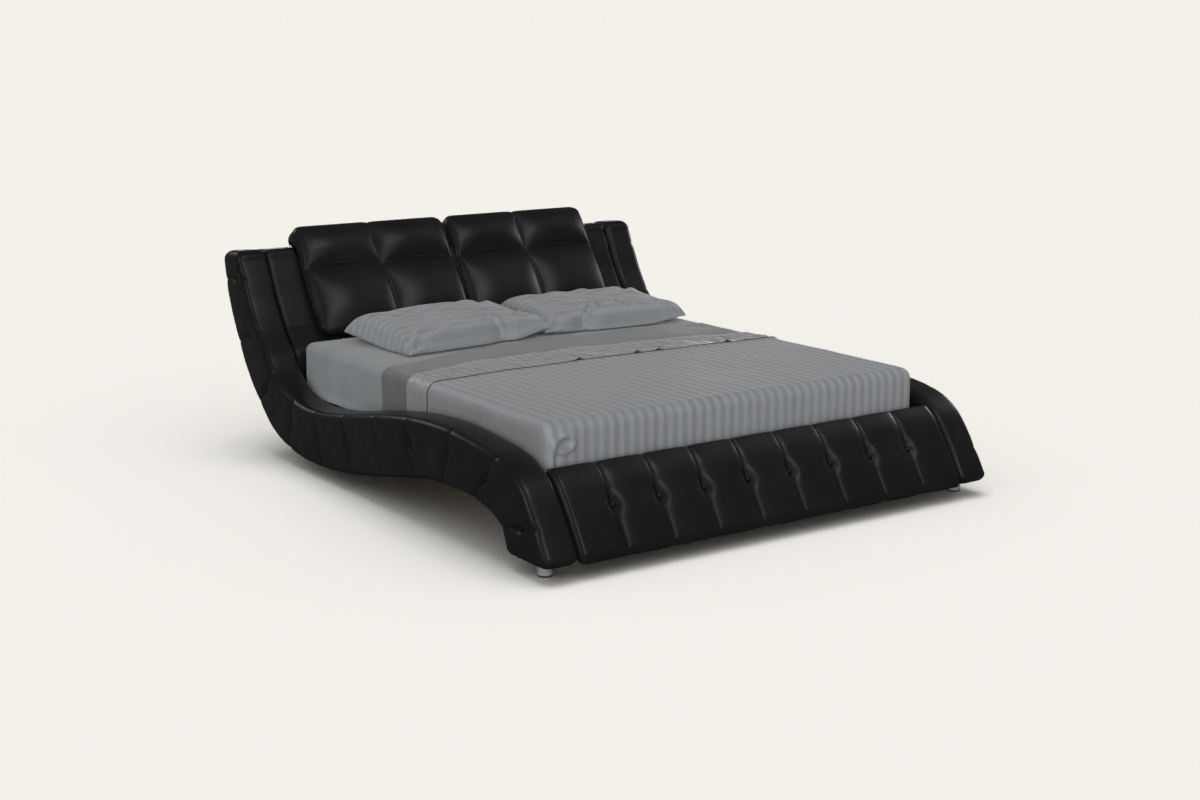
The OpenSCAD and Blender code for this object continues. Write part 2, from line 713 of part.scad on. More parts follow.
module hinge_arm() {
    difference() {
        union() {
            for (x = [-1, 1]) {
                x0 = x * (ear_t / 2 + arm_gap + arm_t / 2);
                profile(x0 - arm_t / 2, x0 + arm_t / 2) {
                    polygon([rest(roll, roll - 9), rest(arm_turn, roll - 9),
                             rest(arm_turn, rest_board_b + rest_board_t + arm_t),
                             rest(arm_start, rest_board_b + rest_board_t + arm_t),
                             rest(roll, roll + 9)]);
                    translate(pivot) circle(d = boss_d, $fn = 48);
                }
            }
            profile(-20, 20)
                polygon([rest(arm_start + 4, rest_board_b + rest_board_t),
                         rest(arm_end, rest_board_b + rest_board_t),
                         rest(arm_end, rest_board_b + rest_board_t + arm_t),
                         rest(arm_start + 4, rest_board_b + rest_board_t + arm_t)]);
        }
        x_rod(-20, 20, pivot[0], pivot[1], pin_d);
    }
}
module left_hinge_arms() { color("silver") hinge_places(LEFT) hinge_arm(); }
module right_hinge_arms() { color("silver") hinge_places(RIGHT) hinge_arm(); }
module hinge_pin() {
    half = ear_t / 2 + arm_gap + arm_t;
    x_rod(-half, half, pivot[0], pivot[1], pin_d);
    for (x = [-half - 1.5, half]) x_rod(x, x + 1.5, pivot[0], pivot[1], pin_d + 4);
}
module left_hinge_pins() { color("lightgray") hinge_places(LEFT) hinge_pin(); }
module right_hinge_pins() { color("lightgray") hinge_places(RIGHT) hinge_pin(); }

// ---- Headrests ----
module hinge_slot() {
    profile(-10, 10) polygon([rest(-6, roll - 14), rest(arm_turn + 2, roll - 14),
                              rest(arm_turn + 2, headrest_t + 5), rest(-6, headrest_t + 5)]);
    profile(-20.3, 20.3)
        polygon([for (p = [[arm_start, 0], [arm_end + 0.5, 0], [arm_end + 0.5, arm_t + 0.2],
                           [arm_start, arm_t + 0.2]])
                     rest(p[0], rest_board_b + rest_board_t + p[1])]);
}
module headrest_board() {
    profile(headrest_x0 + 20, headrest_x0 + headrest_w - 20)
        polygon([rest(arm_turn + 3, rest_board_b), rest(rest_l - 100, rest_board_b),
                 rest(rest_l - 100, rest_board_b + rest_board_t),
                 rest(arm_turn + 3, rest_board_b + rest_board_t)]);
}
module headrest_foam() {
    difference() {
        profile(headrest_x0 + leather_t, headrest_x0 + headrest_w - leather_t)
            polygon(headrest_outline(leather_t));
        headrest_board();
        for (x = hinge_x) translate([x, 0, 0]) hinge_slot();
    }
}
module headrest_cover() {
    difference() {
        profile(headrest_x0, headrest_x0 + headrest_w) polygon(headrest_outline(0));
        profile(headrest_x0 + leather_t, headrest_x0 + headrest_w - leather_t)
            polygon(headrest_outline(leather_t));
        for (x = hinge_x) translate([x, 0, 0]) hinge_slot();
    }
}
module left_headrest_board() { color("burlywood") side(LEFT) headrest_board(); }
module right_headrest_board() { color("burlywood") side(RIGHT) headrest_board(); }
module left_headrest_foam() { color("khaki") side(LEFT) headrest_foam(); }
module right_headrest_foam() { color("khaki") side(RIGHT) headrest_foam(); }
module left_headrest_cover() { color("#262626") side(LEFT) headrest_cover(); }
module right_headrest_cover() { color("#262626") side(RIGHT) headrest_cover(); }

// ---- Bedding ----
corner_r = 50;
function share_y(share) = mattress_foot + share * mattress_l;
module mattress() {
    color("whitesmoke")
        rounded_plate(-mattress_w / 2, mattress_w / 2, mattress_foot, mattress_head, corner_r, deck,
                      mattress_top);
}
// A cover over the mattress, open below, standing out grow mm and thick mm thick
module bed_layer(grow, thick, y_end, z_side) {
    half = mattress_w / 2 + grow;
    difference() {
        intersection() {
            rounded_plate(-half - thick, half + thick, mattress_foot - grow - thick,
                          mattress_head + grow + thick, corner_r + grow + thick, z_side,
                          mattress_top + grow + thick);
            translate([-mattress_w, mattress_foot - 100, 0])
                cube([2 * mattress_w, y_end - mattress_foot + 100, mattress_top + 100]);
        }
        rounded_plate(-half, half, mattress_foot - grow, mattress_head + grow, corner_r + grow,
                      z_side - 1, mattress_top + grow);
    }
}
module fitted_sheet() {
    color("#8b9094") bed_layer(0, sheet_t, mattress_head + sheet_t, deck + 4);
}
module flat_sheet() {
    color("#5c5c60") bed_layer(flat_grow, flat_sheet_t, share_y(flat_edge), tuck_z);
}
module turned_border() {
    color("#7b7f82") intersection() {
        bed_layer(top_grow, border_t, share_y(border_edge), tuck_z);
        translate([-mattress_w, share_y(blanket_edge) + layer, 0])
            cube([2 * mattress_w, mattress_l, mattress_top + 100]);
    }
}
module blanket() {
    color("#85898c") difference() {
        bed_layer(top_grow, blanket_t, share_y(blanket_edge), tuck_z);
        translate([-mattress_w, mattress_foot - 100, 0])
            cube([2 * mattress_w, 100 + corner_r, drape_z]);
    }
}
module pillow_solid(i, d) {
    corner = 12;
    translate([pillow_x[i], pillow_y, mattress_top + sheet_t + 1.5 + d]) rotate(pillow_turn[i]) hull() {
        for (x = [-1, 1], y = [-1, 1])
            translate([x * (pillow_l / 2 - corner), y * (pillow_w / 2 - corner), pillow_h * 0.4 - d])
                sphere(corner - d, $fn = 20);
        linear_extrude(pillow_h - 2 * d)
            square([pillow_l * 0.55 - 2 * d, pillow_w * 0.42 - 2 * d], center = true);
    }
}
module pillow_case(i) {
    difference() {
        pillow_solid(i, 0);
        pillow_solid(i, 2);
    }
}
module left_pillow_insert() { color("white") pillow_solid(0, 2.2); }
module left_pillow_case() { color("#9a9ea1") pillow_case(0); }
module right_pillow_insert() { color("white") pillow_solid(1, 2.2); }
module right_pillow_case() { color("#9a9ea1") pillow_case(1); }

left_band_boards();
right_band_boards();
left_band_blocks();
right_band_blocks();
left_band_foam();
right_band_foam();
left_band_cover();
right_band_cover();
left_band_buttons();
right_band_buttons();
headboard_ribs();
headboard_rails();
headboard_panel();
headboard_foam();
headboard_cover();
headboard_screws();
foot_panel_board();
foot_panel_foam();
foot_panel_cover();
foot_panel_buttons();
panel_cleats();
foot_rail();
head_rail();
corner_brackets();
corner_bolts();
left_ledger();
right_ledger();
ledger_screws();
centre_beam();
beam_hangers();
centre_legs();
left_slats();
right_slats();
slat_holders();
front_feet();
rear_legs();
floor_pads();
left_hinge_bases();
right_hinge_bases();
hinge_screws();
left_headrest_board();
left_headrest_foam();
left_headrest_cover();
left_hinge_arms();
left_hinge_pins();
right_headrest_board();
right_headrest_foam();
right_headrest_cover();
right_hinge_arms();
right_hinge_pins();
mattress();
fitted_sheet();
flat_sheet();
turned_border();
blanket();
left_pillow_insert();
left_pillow_case();
right_pillow_insert();
right_pillow_case();
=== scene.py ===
"""A black leather sleigh bed with tufted headrests and grey bedding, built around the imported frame."""

import math

import bmesh
import bpy
import numpy as np
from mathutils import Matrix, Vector


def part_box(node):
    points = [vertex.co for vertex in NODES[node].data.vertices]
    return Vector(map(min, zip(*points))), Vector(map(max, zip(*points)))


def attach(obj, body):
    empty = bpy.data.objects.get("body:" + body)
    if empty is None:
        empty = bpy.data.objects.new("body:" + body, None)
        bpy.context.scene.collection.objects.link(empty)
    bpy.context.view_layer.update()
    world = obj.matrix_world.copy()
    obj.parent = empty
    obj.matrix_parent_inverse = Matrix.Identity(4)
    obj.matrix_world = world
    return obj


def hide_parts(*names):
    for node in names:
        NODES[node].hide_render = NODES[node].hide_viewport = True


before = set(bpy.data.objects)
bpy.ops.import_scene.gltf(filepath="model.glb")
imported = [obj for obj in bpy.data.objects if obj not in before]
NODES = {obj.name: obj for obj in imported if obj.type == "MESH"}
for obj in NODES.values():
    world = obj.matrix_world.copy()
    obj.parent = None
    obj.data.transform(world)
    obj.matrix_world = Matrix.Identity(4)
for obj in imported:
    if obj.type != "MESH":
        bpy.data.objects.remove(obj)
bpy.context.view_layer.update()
SIDES = {"left": -1, "right": 1}

# ---- Places, in metres ----
MATTRESS_LOW, MATTRESS_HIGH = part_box("mattress")
FOOT_Y, HEAD_Y = MATTRESS_LOW.y, MATTRESS_HIGH.y
TOP_Z = MATTRESS_HIGH.z
BAND_IN, BAND_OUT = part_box("right_band_cover")[0].x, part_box("right_band_cover")[1].x
BAND_BUTTONS = 11
FIRST_BUTTON, LAST_BUTTON = 0.092, 0.086   # how far the end buttons are from the toe and from the top
PANEL_BUTTONS = 8
PANEL_BUTTON_STATION = 1.95        # where the foot panel's buttons lie on the bands' front curve
TOE_ROUND, TOP_ROUND = 0.033, 0.042


# (y, z) of a point z mm high: d mm past the mattress's foot end, at a share of its length, or d mm past
# its head end
def from_foot(d, z):
    return FOOT_Y + d / 1000, z / 1000


def along(share, z):
    return FOOT_Y + share * (HEAD_Y - FOOT_Y), z / 1000


def from_head(d, z):
    return HEAD_Y + d / 1000, z / 1000


# The bands' upper and lower curves, from toe to top
FRONT = np.array([
    from_foot(-277, 85), from_foot(-238, 150), from_foot(-184, 233), from_foot(-100, 333),
    from_foot(20, 392), from_foot(200, 419), along(0.215, 433), along(0.325, 424),
    along(0.445, 393), along(0.56, 352), along(0.67, 312), along(0.77, 288),
    from_head(-300, 292), from_head(-170, 322), from_head(-70, 374), from_head(8, 465),
    from_head(90, 555), from_head(160, 655), from_head(215, 760), from_head(262, 848),
])
BACK = np.array([
    from_foot(-5, 85), from_foot(15, 125), from_foot(45, 158), from_foot(100, 182),
    from_foot(200, 204), from_foot(340, 213), along(0.235, 208), along(0.295, 196),
    along(0.405, 156), along(0.51, 115), along(0.62, 77), along(0.735, 53),
    from_head(-280, 57), from_head(-70, 108), from_head(80, 207), from_head(200, 325),
    from_head(300, 465), from_head(370, 600), from_head(418, 725), from_head(434, 836),
])
LAST = len(FRONT) - 1


def curve(points, t):
    """Points on the smooth curve through points, at stations t."""
    t = np.atleast_1d(np.asarray(t, float))
    i = np.clip(np.floor(t).astype(int), 0, LAST - 1)
    u = (t - i)[:, None]
    a, b, c, d = (points[np.clip(i + k, 0, LAST)] for k in (-1, 0, 1, 2))
    return 0.5 * (2 * b + (c - a) * u + (2 * a - 5 * b + 4 * c - d) * u**2 + (3 * b - a - 3 * c + d) * u**3)


def unit(v):
    """v, or each row of it, at length 1."""
    return v / np.linalg.norm(v, axis=-1, keepdims=True)


FINE_T = np.linspace(0, LAST, 1900)
MIDDLE = (curve(FRONT, FINE_T) + curve(BACK, FINE_T)) / 2
RUN = np.concatenate([[0], np.cumsum(np.linalg.norm(np.diff(MIDDLE, axis=0), axis=1))])
BUTTON_RUN = np.linspace(FIRST_BUTTON, RUN[-1] - LAST_BUTTON, BAND_BUTTONS)


def spread(lo, hi, centres, fine, coarse, reach):
    """Sorted positions from lo to hi, closer together near each of centres."""
    out, x = [lo], lo
    while x < hi:
        near = min((abs(x - c) for c in centres), default=reach)
        x += fine + (coarse - fine) * min(1.0, near / reach)
        out.append(min(x, hi))
    return np.array(out)


def smooth(x):
    """0 below 0 and 1 above 1, with an even passage between."""
    x = np.clip(x, 0, 1)
    return x * x * (3 - 2 * x)


def bell(x, width):
    """1 at x = 0, fading over width on both sides."""
    return np.exp(-((x / width) ** 2))


def noise(p, scale, seed=0):
    """Smooth wandering values from about -1 to 1 at points p, the same on each run."""
    rng = np.random.default_rng(seed)
    total = np.zeros(len(p))
    for _ in range(7):
        k = rng.normal(size=3)
        k *= 2 * math.pi / scale * rng.uniform(0.6, 1.5) / np.linalg.norm(k)
        total += np.sin(p @ k + rng.uniform(0, 2 * math.pi))
    return total / 3.5


# ---- Materials ----
STRIPE_PERIOD = 0.045


def tree(name):
    """A new material, its node tree and its main shader."""
    mat = bpy.data.materials.new(name)
    mat.use_nodes = True
    nt = mat.node_tree
    return mat, nt, nt.nodes["Principled BSDF"]


def add(nt, kind, **values):
    """A new node with its inputs and settings at values."""
    node = nt.nodes.new(kind)
    for key, value in values.items():
        if key in node.inputs:
            node.inputs[key].default_value = value
        else:
            setattr(node, key, value)
    return node


def link(nt, a, out, b, into):
    nt.links.new(a.outputs[out], b.inputs[into])


def ramp(nt, source, out, stops):
    """A colour ramp through stops, which are positions and colours, driven by a node's output."""
    node = nt.nodes.new("ShaderNodeValToRGB")
    els = node.color_ramp.elements
    while len(els) < len(stops):
        els.new(0.5)
    for el, (pos, col) in zip(els, stops):
        el.position = pos
        el.color = (*col, 1)
    link(nt, source, out, node, "Fac")
    return node


def placed_by(nt, node, source="Object"):
    """node, with its vector from the texture coordinates called source."""
    link(nt, nt.nodes.new("ShaderNodeTexCoord"), source, node, "Vector")
    return node


def texture(nt, kind, source="Object", **values):
    return placed_by(nt, add(nt, "ShaderNodeTex" + kind, **values), source)


def mottled(nt, source, low, high, tint, less, more):
    """A ramp from tint times less, at low, to tint times more, at high."""
    pale = tuple(min(1, more * c) for c in tint)
    return ramp(nt, source, "Fac", [(low, tuple(less * c for c in tint)), (high, pale)])


def mapped(nt, source, out, low, high):
    """A node that turns a node's output from 0 to 1 into a value from low to high."""
    node = add(nt, "ShaderNodeMapRange", **{"To Min": low, "To Max": high})
    link(nt, source, out, node, "Value")
    return node


def raised(nt, source, out, strength, distance, over=None):
    """A bump node driven by a node's output, on top of the bump node over."""
    node = add(nt, "ShaderNodeBump", Strength=strength, Distance=distance)
    link(nt, source, out, node, "Height")
    if over:
        link(nt, over, "Normal", node, "Normal")
    return node


def leather(name, tint=(0.0052, 0.0052, 0.0056), rough=0.33):
    """Leather with a fine grain, shallow creases, and slow changes of tone and gloss."""
    mat, nt, bsdf = tree(name)
    grain = texture(nt, "Voronoi", Scale=420.0, feature="SMOOTH_F1")
    creases = texture(nt, "Noise", Scale=55.0, Detail=5.0, Roughness=0.6)
    patches = texture(nt, "Noise", Scale=5.0, Detail=3.0)
    colour = mottled(nt, patches, 0.35, 0.7, tint, 0.8, 1.25)
    link(nt, colour, "Color", bsdf, "Base Color")
    link(nt, mapped(nt, creases, "Fac", rough - 0.05, rough + 0.08), "Result", bsdf, "Roughness")
    fine = raised(nt, grain, "Distance", 0.16, 0.0006)
    link(nt, raised(nt, creases, "Fac", 0.10, 0.002, over=fine), "Normal", bsdf, "Normal")
    bsdf.inputs["Specular IOR Level"].default_value = 0.36
    return mat


def cotton(name, tint, stripe=None, axis="X", rough=0.62, source="Object"):
    """Woven cotton, with satin stripes of the colour stripe running across axis."""
    mat, nt, bsdf = tree(name)
    base = mottled(nt, texture(nt, "Noise", Scale=9.0, Detail=4.0), 0.3, 0.72, tint, 0.93, 1.06)
    if stripe:
        parts = placed_by(nt, add(nt, "ShaderNodeSeparateXYZ"), source)
        wave = add(nt, "ShaderNodeMath", operation="MULTIPLY")
        link(nt, parts, axis, wave, 0)
        wave.inputs[1].default_value = 2 * math.pi / STRIPE_PERIOD
        sine = add(nt, "ShaderNodeMath", operation="SINE")
        link(nt, wave, 0, sine, 0)
        edge = add(nt, "ShaderNodeMapRange", **{"From Min": -0.35, "From Max": 0.35})
        link(nt, sine, 0, edge, "Value")
        mix = add(nt, "ShaderNodeMix", data_type="RGBA")
        link(nt, edge, "Result", mix, "Factor")
        nt.links.new(base.outputs["Color"], mix.inputs[6])
        mix.inputs[7].default_value = (*stripe, 1)
        nt.links.new(mix.outputs[2], bsdf.inputs["Base Color"])
        link(nt, mapped(nt, edge, "Result", rough, rough - 0.14), "Result", bsdf, "Roughness")
    else:
        link(nt, base, "Color", bsdf, "Base Color")
        bsdf.inputs["Roughness"].default_value = rough
    both = add(nt, "ShaderNodeMath", operation="MULTIPLY")
    for k, way in enumerate("XY"):
        threads = texture(nt, "Wave", source, Scale=420.0, Distortion=0.6, bands_direction=way)
        link(nt, threads, "Fac", both, k)
    folds = texture(nt, "Noise", Scale=14.0, Detail=3.0)
    weave = raised(nt, both, 0, 0.12, 0.0004)
    link(nt, raised(nt, folds, "Fac", 0.18, 0.004, over=weave), "Normal", bsdf, "Normal")
    bsdf.inputs["Sheen Weight"].default_value = 0.25
    bsdf.inputs["Sheen Roughness"].default_value = 0.5
    bsdf.inputs["Specular IOR Level"].default_value = 0.3
    return mat


def grained(name, dark, light, stretch, rough=0.6):
    """Wood, whose grain runs along the axis with the small stretch."""
    mat, nt, bsdf = tree(name)
    place = placed_by(nt, add(nt, "ShaderNodeMapping", Scale=stretch))
    rings = add(nt, "ShaderNodeTexNoise", Scale=6.0, Detail=6.0, Distortion=0.8)
    link(nt, place, "Vector", rings, "Vector")
    colour = ramp(nt, rings, "Fac", [(0.3, dark), (0.7, light)])
    link(nt, colour, "Color", bsdf, "Base Color")
    link(nt, raised(nt, rings, "Fac", 0.1, 0.001), "Normal", bsdf, "Normal")
    bsdf.inputs["Roughness"].default_value = rough
    return mat


def speckled(name, tint, rough, metallic=0.0, scale=260.0, bump=0.1, spread_by=0.12):
    """Metal, plastic or the dark cord of painted shade: one colour, broken up by fine noise in tone, gloss
    and height.
    """
    mat, nt, bsdf = tree(name)
    fine = texture(nt, "Noise", Scale=scale, Detail=4.0)
    wide = texture(nt, "Noise", Scale=12.0, Detail=4.0)
    colour = mottled(nt, wide, 0.3, 0.7, tint, 1 - spread_by, 1 + spread_by)
    link(nt, colour, "Color", bsdf, "Base Color")
    link(nt, mapped(nt, wide, "Fac", rough - 0.08, rough + 0.08), "Result", bsdf, "Roughness")
    link(nt, raised(nt, fine, "Fac", bump, 0.0005), "Normal", bsdf, "Normal")
    bsdf.inputs["Metallic"].default_value = metallic
    return mat


LEATHER = leather("leather_black")
BUTTON_LEATHER = leather("leather_button", rough=0.26)
# Near-black colour of the cord that paints the shadow under the turned border's edge
SHADE_CORD = speckled("shade_cord_black", (0.02, 0.02, 0.021), 0.6)
SHEET_PLAIN = cotton("cotton_plain", (0.165, 0.177, 0.186))
SHEET_DARK = cotton("cotton_dark", (0.078, 0.079, 0.083), rough=0.55)
SHEET_STRIPED = cotton("cotton_striped", (0.160, 0.168, 0.176), stripe=(0.202, 0.212, 0.222))
BORDER_STRIPED = cotton("cotton_border", (0.165, 0.173, 0.181), stripe=(0.205, 0.213, 0.223), rough=0.44)
TICKING = cotton("mattress_ticking", (0.45, 0.44, 0.42), rough=0.7)
PLYWOOD = grained("plywood", (0.28, 0.17, 0.09), (0.42, 0.28, 0.16), stretch=(3.0, 3.0, 40.0))
TIMBER = grained("timber", (0.30, 0.19, 0.10), (0.46, 0.32, 0.18), stretch=(2.0, 26.0, 26.0))
BEECH = grained("beech_slats", (0.36, 0.22, 0.12), (0.50, 0.34, 0.20), rough=0.5, stretch=(1.6, 30.0, 30.0))
BLACK_STEEL = speckled("black_steel", (0.015, 0.015, 0.016), 0.45, metallic=0.3, bump=0.2)
ZINC = speckled("zinc_steel", (0.55, 0.56, 0.58), 0.35, metallic=1.0)
FOOT_METAL = speckled("foot_metal", (0.60, 0.60, 0.60), 0.28, metallic=0.7, scale=500.0, spread_by=0.05)
PLASTIC = speckled("black_plastic", (0.012, 0.012, 0.013), 0.55, scale=700.0)
PILLOW_STRIPED = cotton("cotton_pillow", (0.168, 0.176, 0.184), stripe=(0.196, 0.205, 0.214), axis="Y",
                        source="UV")


# ---- Mesh building ----
def piece(name, verts, faces, material, body, slot=None, uv=None, nodes=()):
    """A smooth-shaded mesh piece that rides on body, and stands for nodes."""
    me = bpy.data.meshes.new(name)
    me.from_pydata([tuple(v) for v in verts], [], [tuple(f) for f in faces])
    if uv is not None:
        layer = me.uv_layers.new(name="UVMap")
        index = np.empty(len(me.loops), int)
        me.loops.foreach_get("vertex_index", index)
        layer.data.foreach_set("uv", np.asarray(uv, float)[index].ravel())
    bm = bmesh.new()
    bm.from_mesh(me)
    bmesh.ops.remove_doubles(bm, verts=bm.verts, dist=1e-6)
    if bm.calc_volume(signed=True) < 0:
        bmesh.ops.reverse_faces(bm, faces=bm.faces)
    bm.to_mesh(me)
    bm.free()
    me.shade_smooth()
    me.materials.append(material)
    obj = bpy.data.objects.new(name, me)
    bpy.context.scene.collection.objects.link(obj)
    if body:
        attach(obj, body)
    if nodes:
        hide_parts(*nodes)
    return obj


def loft_faces(n, m):
    """Faces between n rings of m points each, and the two end faces."""
    i = (np.arange(n - 1) * m)[:, None]
    j = np.arange(m)[None, :]
    k = (j + 1) % m
    quads = np.stack([i + j, i + k, i + m + k, i + m + j], -1).reshape(-1, 4).tolist()
    return quads + [list(range(m))[::-1], list(range((n - 1) * m, n * m))]


def rounded_ring(half_u, half_v, r, u_mid, v_mid, n_arc):
    """Points (u, v) and outward directions round a rounded rectangle, from the +v side's start.
    u_mid and v_mid are the positions, from -1 to 1, of the points along the straight sides."""
    r = max(min(r, half_u, half_v) - 1e-5, 1e-5)
    su, sv = half_u - r, half_v - r
    arc = np.linspace(0, math.pi / 2, n_arc + 2)[1:-1]
    pts, nrm = [], []

    def side(us, vs, n):
        for u, v in zip(us, vs):
            pts.append((u, v))
            nrm.append(n)

    def corner(cu, cv, start):
        for a in arc:
            c, s = math.cos(start - a), math.sin(start - a)
            pts.append((cu + r * c, cv + r * s))
            nrm.append((c, s))

    um, vm = np.asarray(u_mid), np.asarray(v_mid)
    side(um * su, np.full(len(um), half_v), (0, 1))
    corner(su, sv, math.pi / 2)
    side(np.full(len(vm), half_u), -vm * sv, (1, 0))
    corner(su, -sv, 0)
    side(-um * su, np.full(len(um), -half_v), (0, -1))
    corner(-su, -sv, -math.pi / 2)
    side(np.full(len(vm), -half_u), vm * sv, (-1, 0))
    corner(-su, sv, math.pi)
    return np.array(pts), np.array(nrm)


# ---- Pleats, edges and sections ----
def pleat(d, q, half, deep, wide, tuft=(0.013, 0.019, 0.034)):
    """How far leather is drawn in at distance d from a seam, and q along the seam from its button.
    tuft is the dimple round the button: its depth, and its reach across and along the seam."""
    d = np.abs(d)
    end = smooth((half - np.abs(q)) / (0.45 * half))
    pull = 0.72 + 0.28 * bell(q, 0.09)
    valley = deep * pull * (0.35 + 0.65 * end) * np.exp(-d / wide)
    crease = 0.0022 * bell(d, 0.0026) * (0.3 + 0.7 * end)
    eye = np.hypot(d / tuft[1], q / tuft[2])
    return valley + crease + tuft[0] * np.exp(-(eye**2.6))


def nearest(x, centres):
    """Signed distance from each x to its nearest centre."""
    gap = x[:, None] - centres
    return gap[np.arange(len(x)), np.abs(gap).argmin(1)]


def rounding(near, r):
    """How far an edge of radius r is drawn in, at distance near from the end."""
    return r - math.sqrt(max(r**2 - (r - near) ** 2, 0))


def sampled(points, step):
    """Points on a polyline at about equal steps."""
    run = np.concatenate([[0], np.cumsum(np.linalg.norm(np.diff(points, axis=0), axis=1))])
    at = np.linspace(0, run[-1], max(2, int(run[-1] / step)))
    return np.column_stack([np.interp(at, run, points[:, k]) for k in range(points.shape[1])])


def section_normals(points):
    """Outward directions of a closed section, drawn anticlockwise or clockwise."""
    t = unit(np.roll(points, -1, 0) - np.roll(points, 1, 0))
    n = np.column_stack([t[:, 1], -t[:, 0]])
    y, z = points.T
    area = 0.5 * np.sum(y * np.roll(z, -1) - np.roll(y, -1) * z)
    return n if area > 0 else -n


def at_x(x, section):
    """A section (y, z) as a ring of points at x."""
    return np.column_stack([np.full(len(section), x), section])


def mirrored(points, s):
    """A copy of points, mirrored in x where s is -1."""
    return np.array(points, float) * [s, 1, 1]


def leather_pad(name, rings, nodes, body="bed_frame"):
    """A padded leather piece through rings, which stands for nodes."""
    obj = piece(name, rings.reshape(-1, 3), loft_faces(*rings.shape[:2]), LEATHER, body, "black_leather",
                nodes=nodes)


# ---- Buttons ----
BUTTON_D, BUTTON_H = 0.024, 0.0095
# Radius and height of the dome and its rolled rim, as shares of the button's own
BUTTON_PROFILE = [(0.25, 0.985), (0.5, 0.93), (0.72, 0.82), (0.88, 0.66), (0.97, 0.46), (1.0, 0.25),
                  (0.97, 0.08), (0.9, 0.0)]
BUTTON_ROUND = 28


def tufts(name, places, node):
    """Covered buttons at places, each the point under its foot and its direction, as one piece."""
    verts, faces = [], []
    for at, normal in places:
        turn = Vector(normal).normalized().to_track_quat("Z", "Y").to_matrix()
        base = len(verts)
        for r, z in BUTTON_PROFILE:
            for k in range(BUTTON_ROUND):
                w = 2 * math.pi * k / BUTTON_ROUND
                out = BUTTON_D / 2 * r * (1 + 0.012 * math.cos(7 * w) * r)
                verts.append(turn @ Vector((out * math.cos(w), out * math.sin(w), BUTTON_H * z)) + Vector(at))
        faces += [[base + i for i in one] for one in loft_faces(len(BUTTON_PROFILE), BUTTON_ROUND)]
    piece(name, verts, faces, BUTTON_LEATHER, "bed_frame", "black_leather", nodes=[node])


# ---- Side bands ----
BAND_EDGE = 0.027                  # radius of the long corners
BAND_PLEAT = (0.0065, 0.020)       # a pleat's depth and reach
BAND_SUNK = 0.0165                 # how far a button's foot lies under the outer side
TOE_CAP = (0.070, 0.060, 0.047)    # how far the rings that close the toe are drawn in
TOP_CAP = (0.052, 0.062, 0.072)    # and those that close the top
HALF_X = (BAND_OUT - BAND_IN) / 2
MID_X = (BAND_OUT + BAND_IN) / 2


def band():
    """Rings round the right-hand band, from toe to top, pleated on its outer side."""
    # Points across the outer side lie closest together in the middle, where the buttons are
    gaps = [0.03, 0.035, 0.045, 0.055, 0.07, 0.085, 0.1, 0.12, 0.14, 0.16, 0.16]
    u_half = np.concatenate([[0], np.cumsum(gaps)])
    u_half = u_half / u_half[-1]
    u_mid = np.concatenate([-u_half[::-1], u_half[1:]])
    v_mid = np.linspace(-1, 1, 9)

    def ring(run, inset, shift, bulge=1.0):
        """The section at run, drawn in by inset and moved by shift; bulge scales its crown and pleats."""
        t = np.interp(min(max(run, 0), RUN[-1]), RUN, FINE_T)
        f, b = curve(FRONT, t)[0], curve(BACK, t)[0]
        half_u = np.linalg.norm(b - f) / 2 - inset
        half_x = HALF_X - min(inset * 0.8, HALF_X * 0.9)
        uv, nv = rounded_ring(half_u, half_x, max(BAND_EDGE - inset * 0.2, 0.004), u_mid, v_mid, 7)
        (u, v), (nu, nx) = uv.T, nv.T
        # Seams run across the outer side, square to the band, and fade out at its corners
        d = run - BUTTON_RUN
        d = d[np.abs(d).argmin()]
        inward = pleat(np.full(len(u), d), u, half_u, *BAND_PLEAT) * smooth((nx - 0.1) / 0.75) * bulge
        pucker = 0.0022 * np.exp(-np.abs(d) / 0.008) + 0.001 * np.exp(-np.abs(d) / 0.03)
        inward = inward + pucker * np.clip(nx, 0, 1) * np.abs(nu) * 2 * bulge
        crown_u = 0.0035 * (1 - np.clip(u / max(half_u, 1e-4), -1, 1) ** 2) * np.abs(nx)
        crown_v = 0.0025 * (1 - np.clip(v / max(half_x, 1e-4), -1, 1) ** 2) * np.abs(nu)
        uv = uv + nv * ((crown_u + crown_v) * bulge - inward)[:, None]
        return np.column_stack([MID_X + uv[:, 1], (f + b) / 2 + shift + unit(b - f) * uv[:, :1]])

    rings = []
    down = np.array([0.0, -1.0])
    arcs = np.linspace(math.pi / 2, 0, 9)
    for inset in TOE_CAP:
        rings.append(ring(0, inset, down * (TOE_ROUND - (inset - TOE_ROUND) * 0.02), 0))
    for w in arcs[:-1]:
        rings.append(ring(0, TOE_ROUND * (1 - math.cos(w)), down * TOE_ROUND * math.sin(w), math.cos(w)))
    for run in spread(0, RUN[-1], BUTTON_RUN, 0.0018, 0.0125, 0.06):
        rings.append(ring(run, 0, 0))
    a = unit(curve(BACK, LAST)[0] - curve(FRONT, LAST)[0])
    up = np.array([-a[1], a[0]])
    for w in arcs[::-1][1:]:
        rings.append(ring(RUN[-1], TOP_ROUND * (1 - math.cos(w)), up * TOP_ROUND * math.sin(w), math.cos(w)))
    for inset in TOP_CAP:
        rings.append(ring(RUN[-1], inset, up * TOP_ROUND, 0))
    rings = np.array(rings)
    # The leather's own unevenness
    flat = rings.reshape(-1, 3)
    flat[:, 0] += noise(flat, 0.11, 3) * 0.0006
    return rings


BAND = band()
BUTTON_T = np.interp(BUTTON_RUN, RUN, FINE_T)
BUTTON_AT = (curve(FRONT, BUTTON_T) + curve(BACK, BUTTON_T)) / 2
for side, s in SIDES.items():
    leather_pad(f"{side}_band_leather", mirrored(BAND, s), [f"{side}_band_cover", f"{side}_band_foam"])
    places = [((s * (BAND_OUT - BAND_SUNK), *yz), (s, 0, 0)) for yz in BUTTON_AT]
    tufts(f"{side}_band_tufts", places, f"{side}_band_buttons")

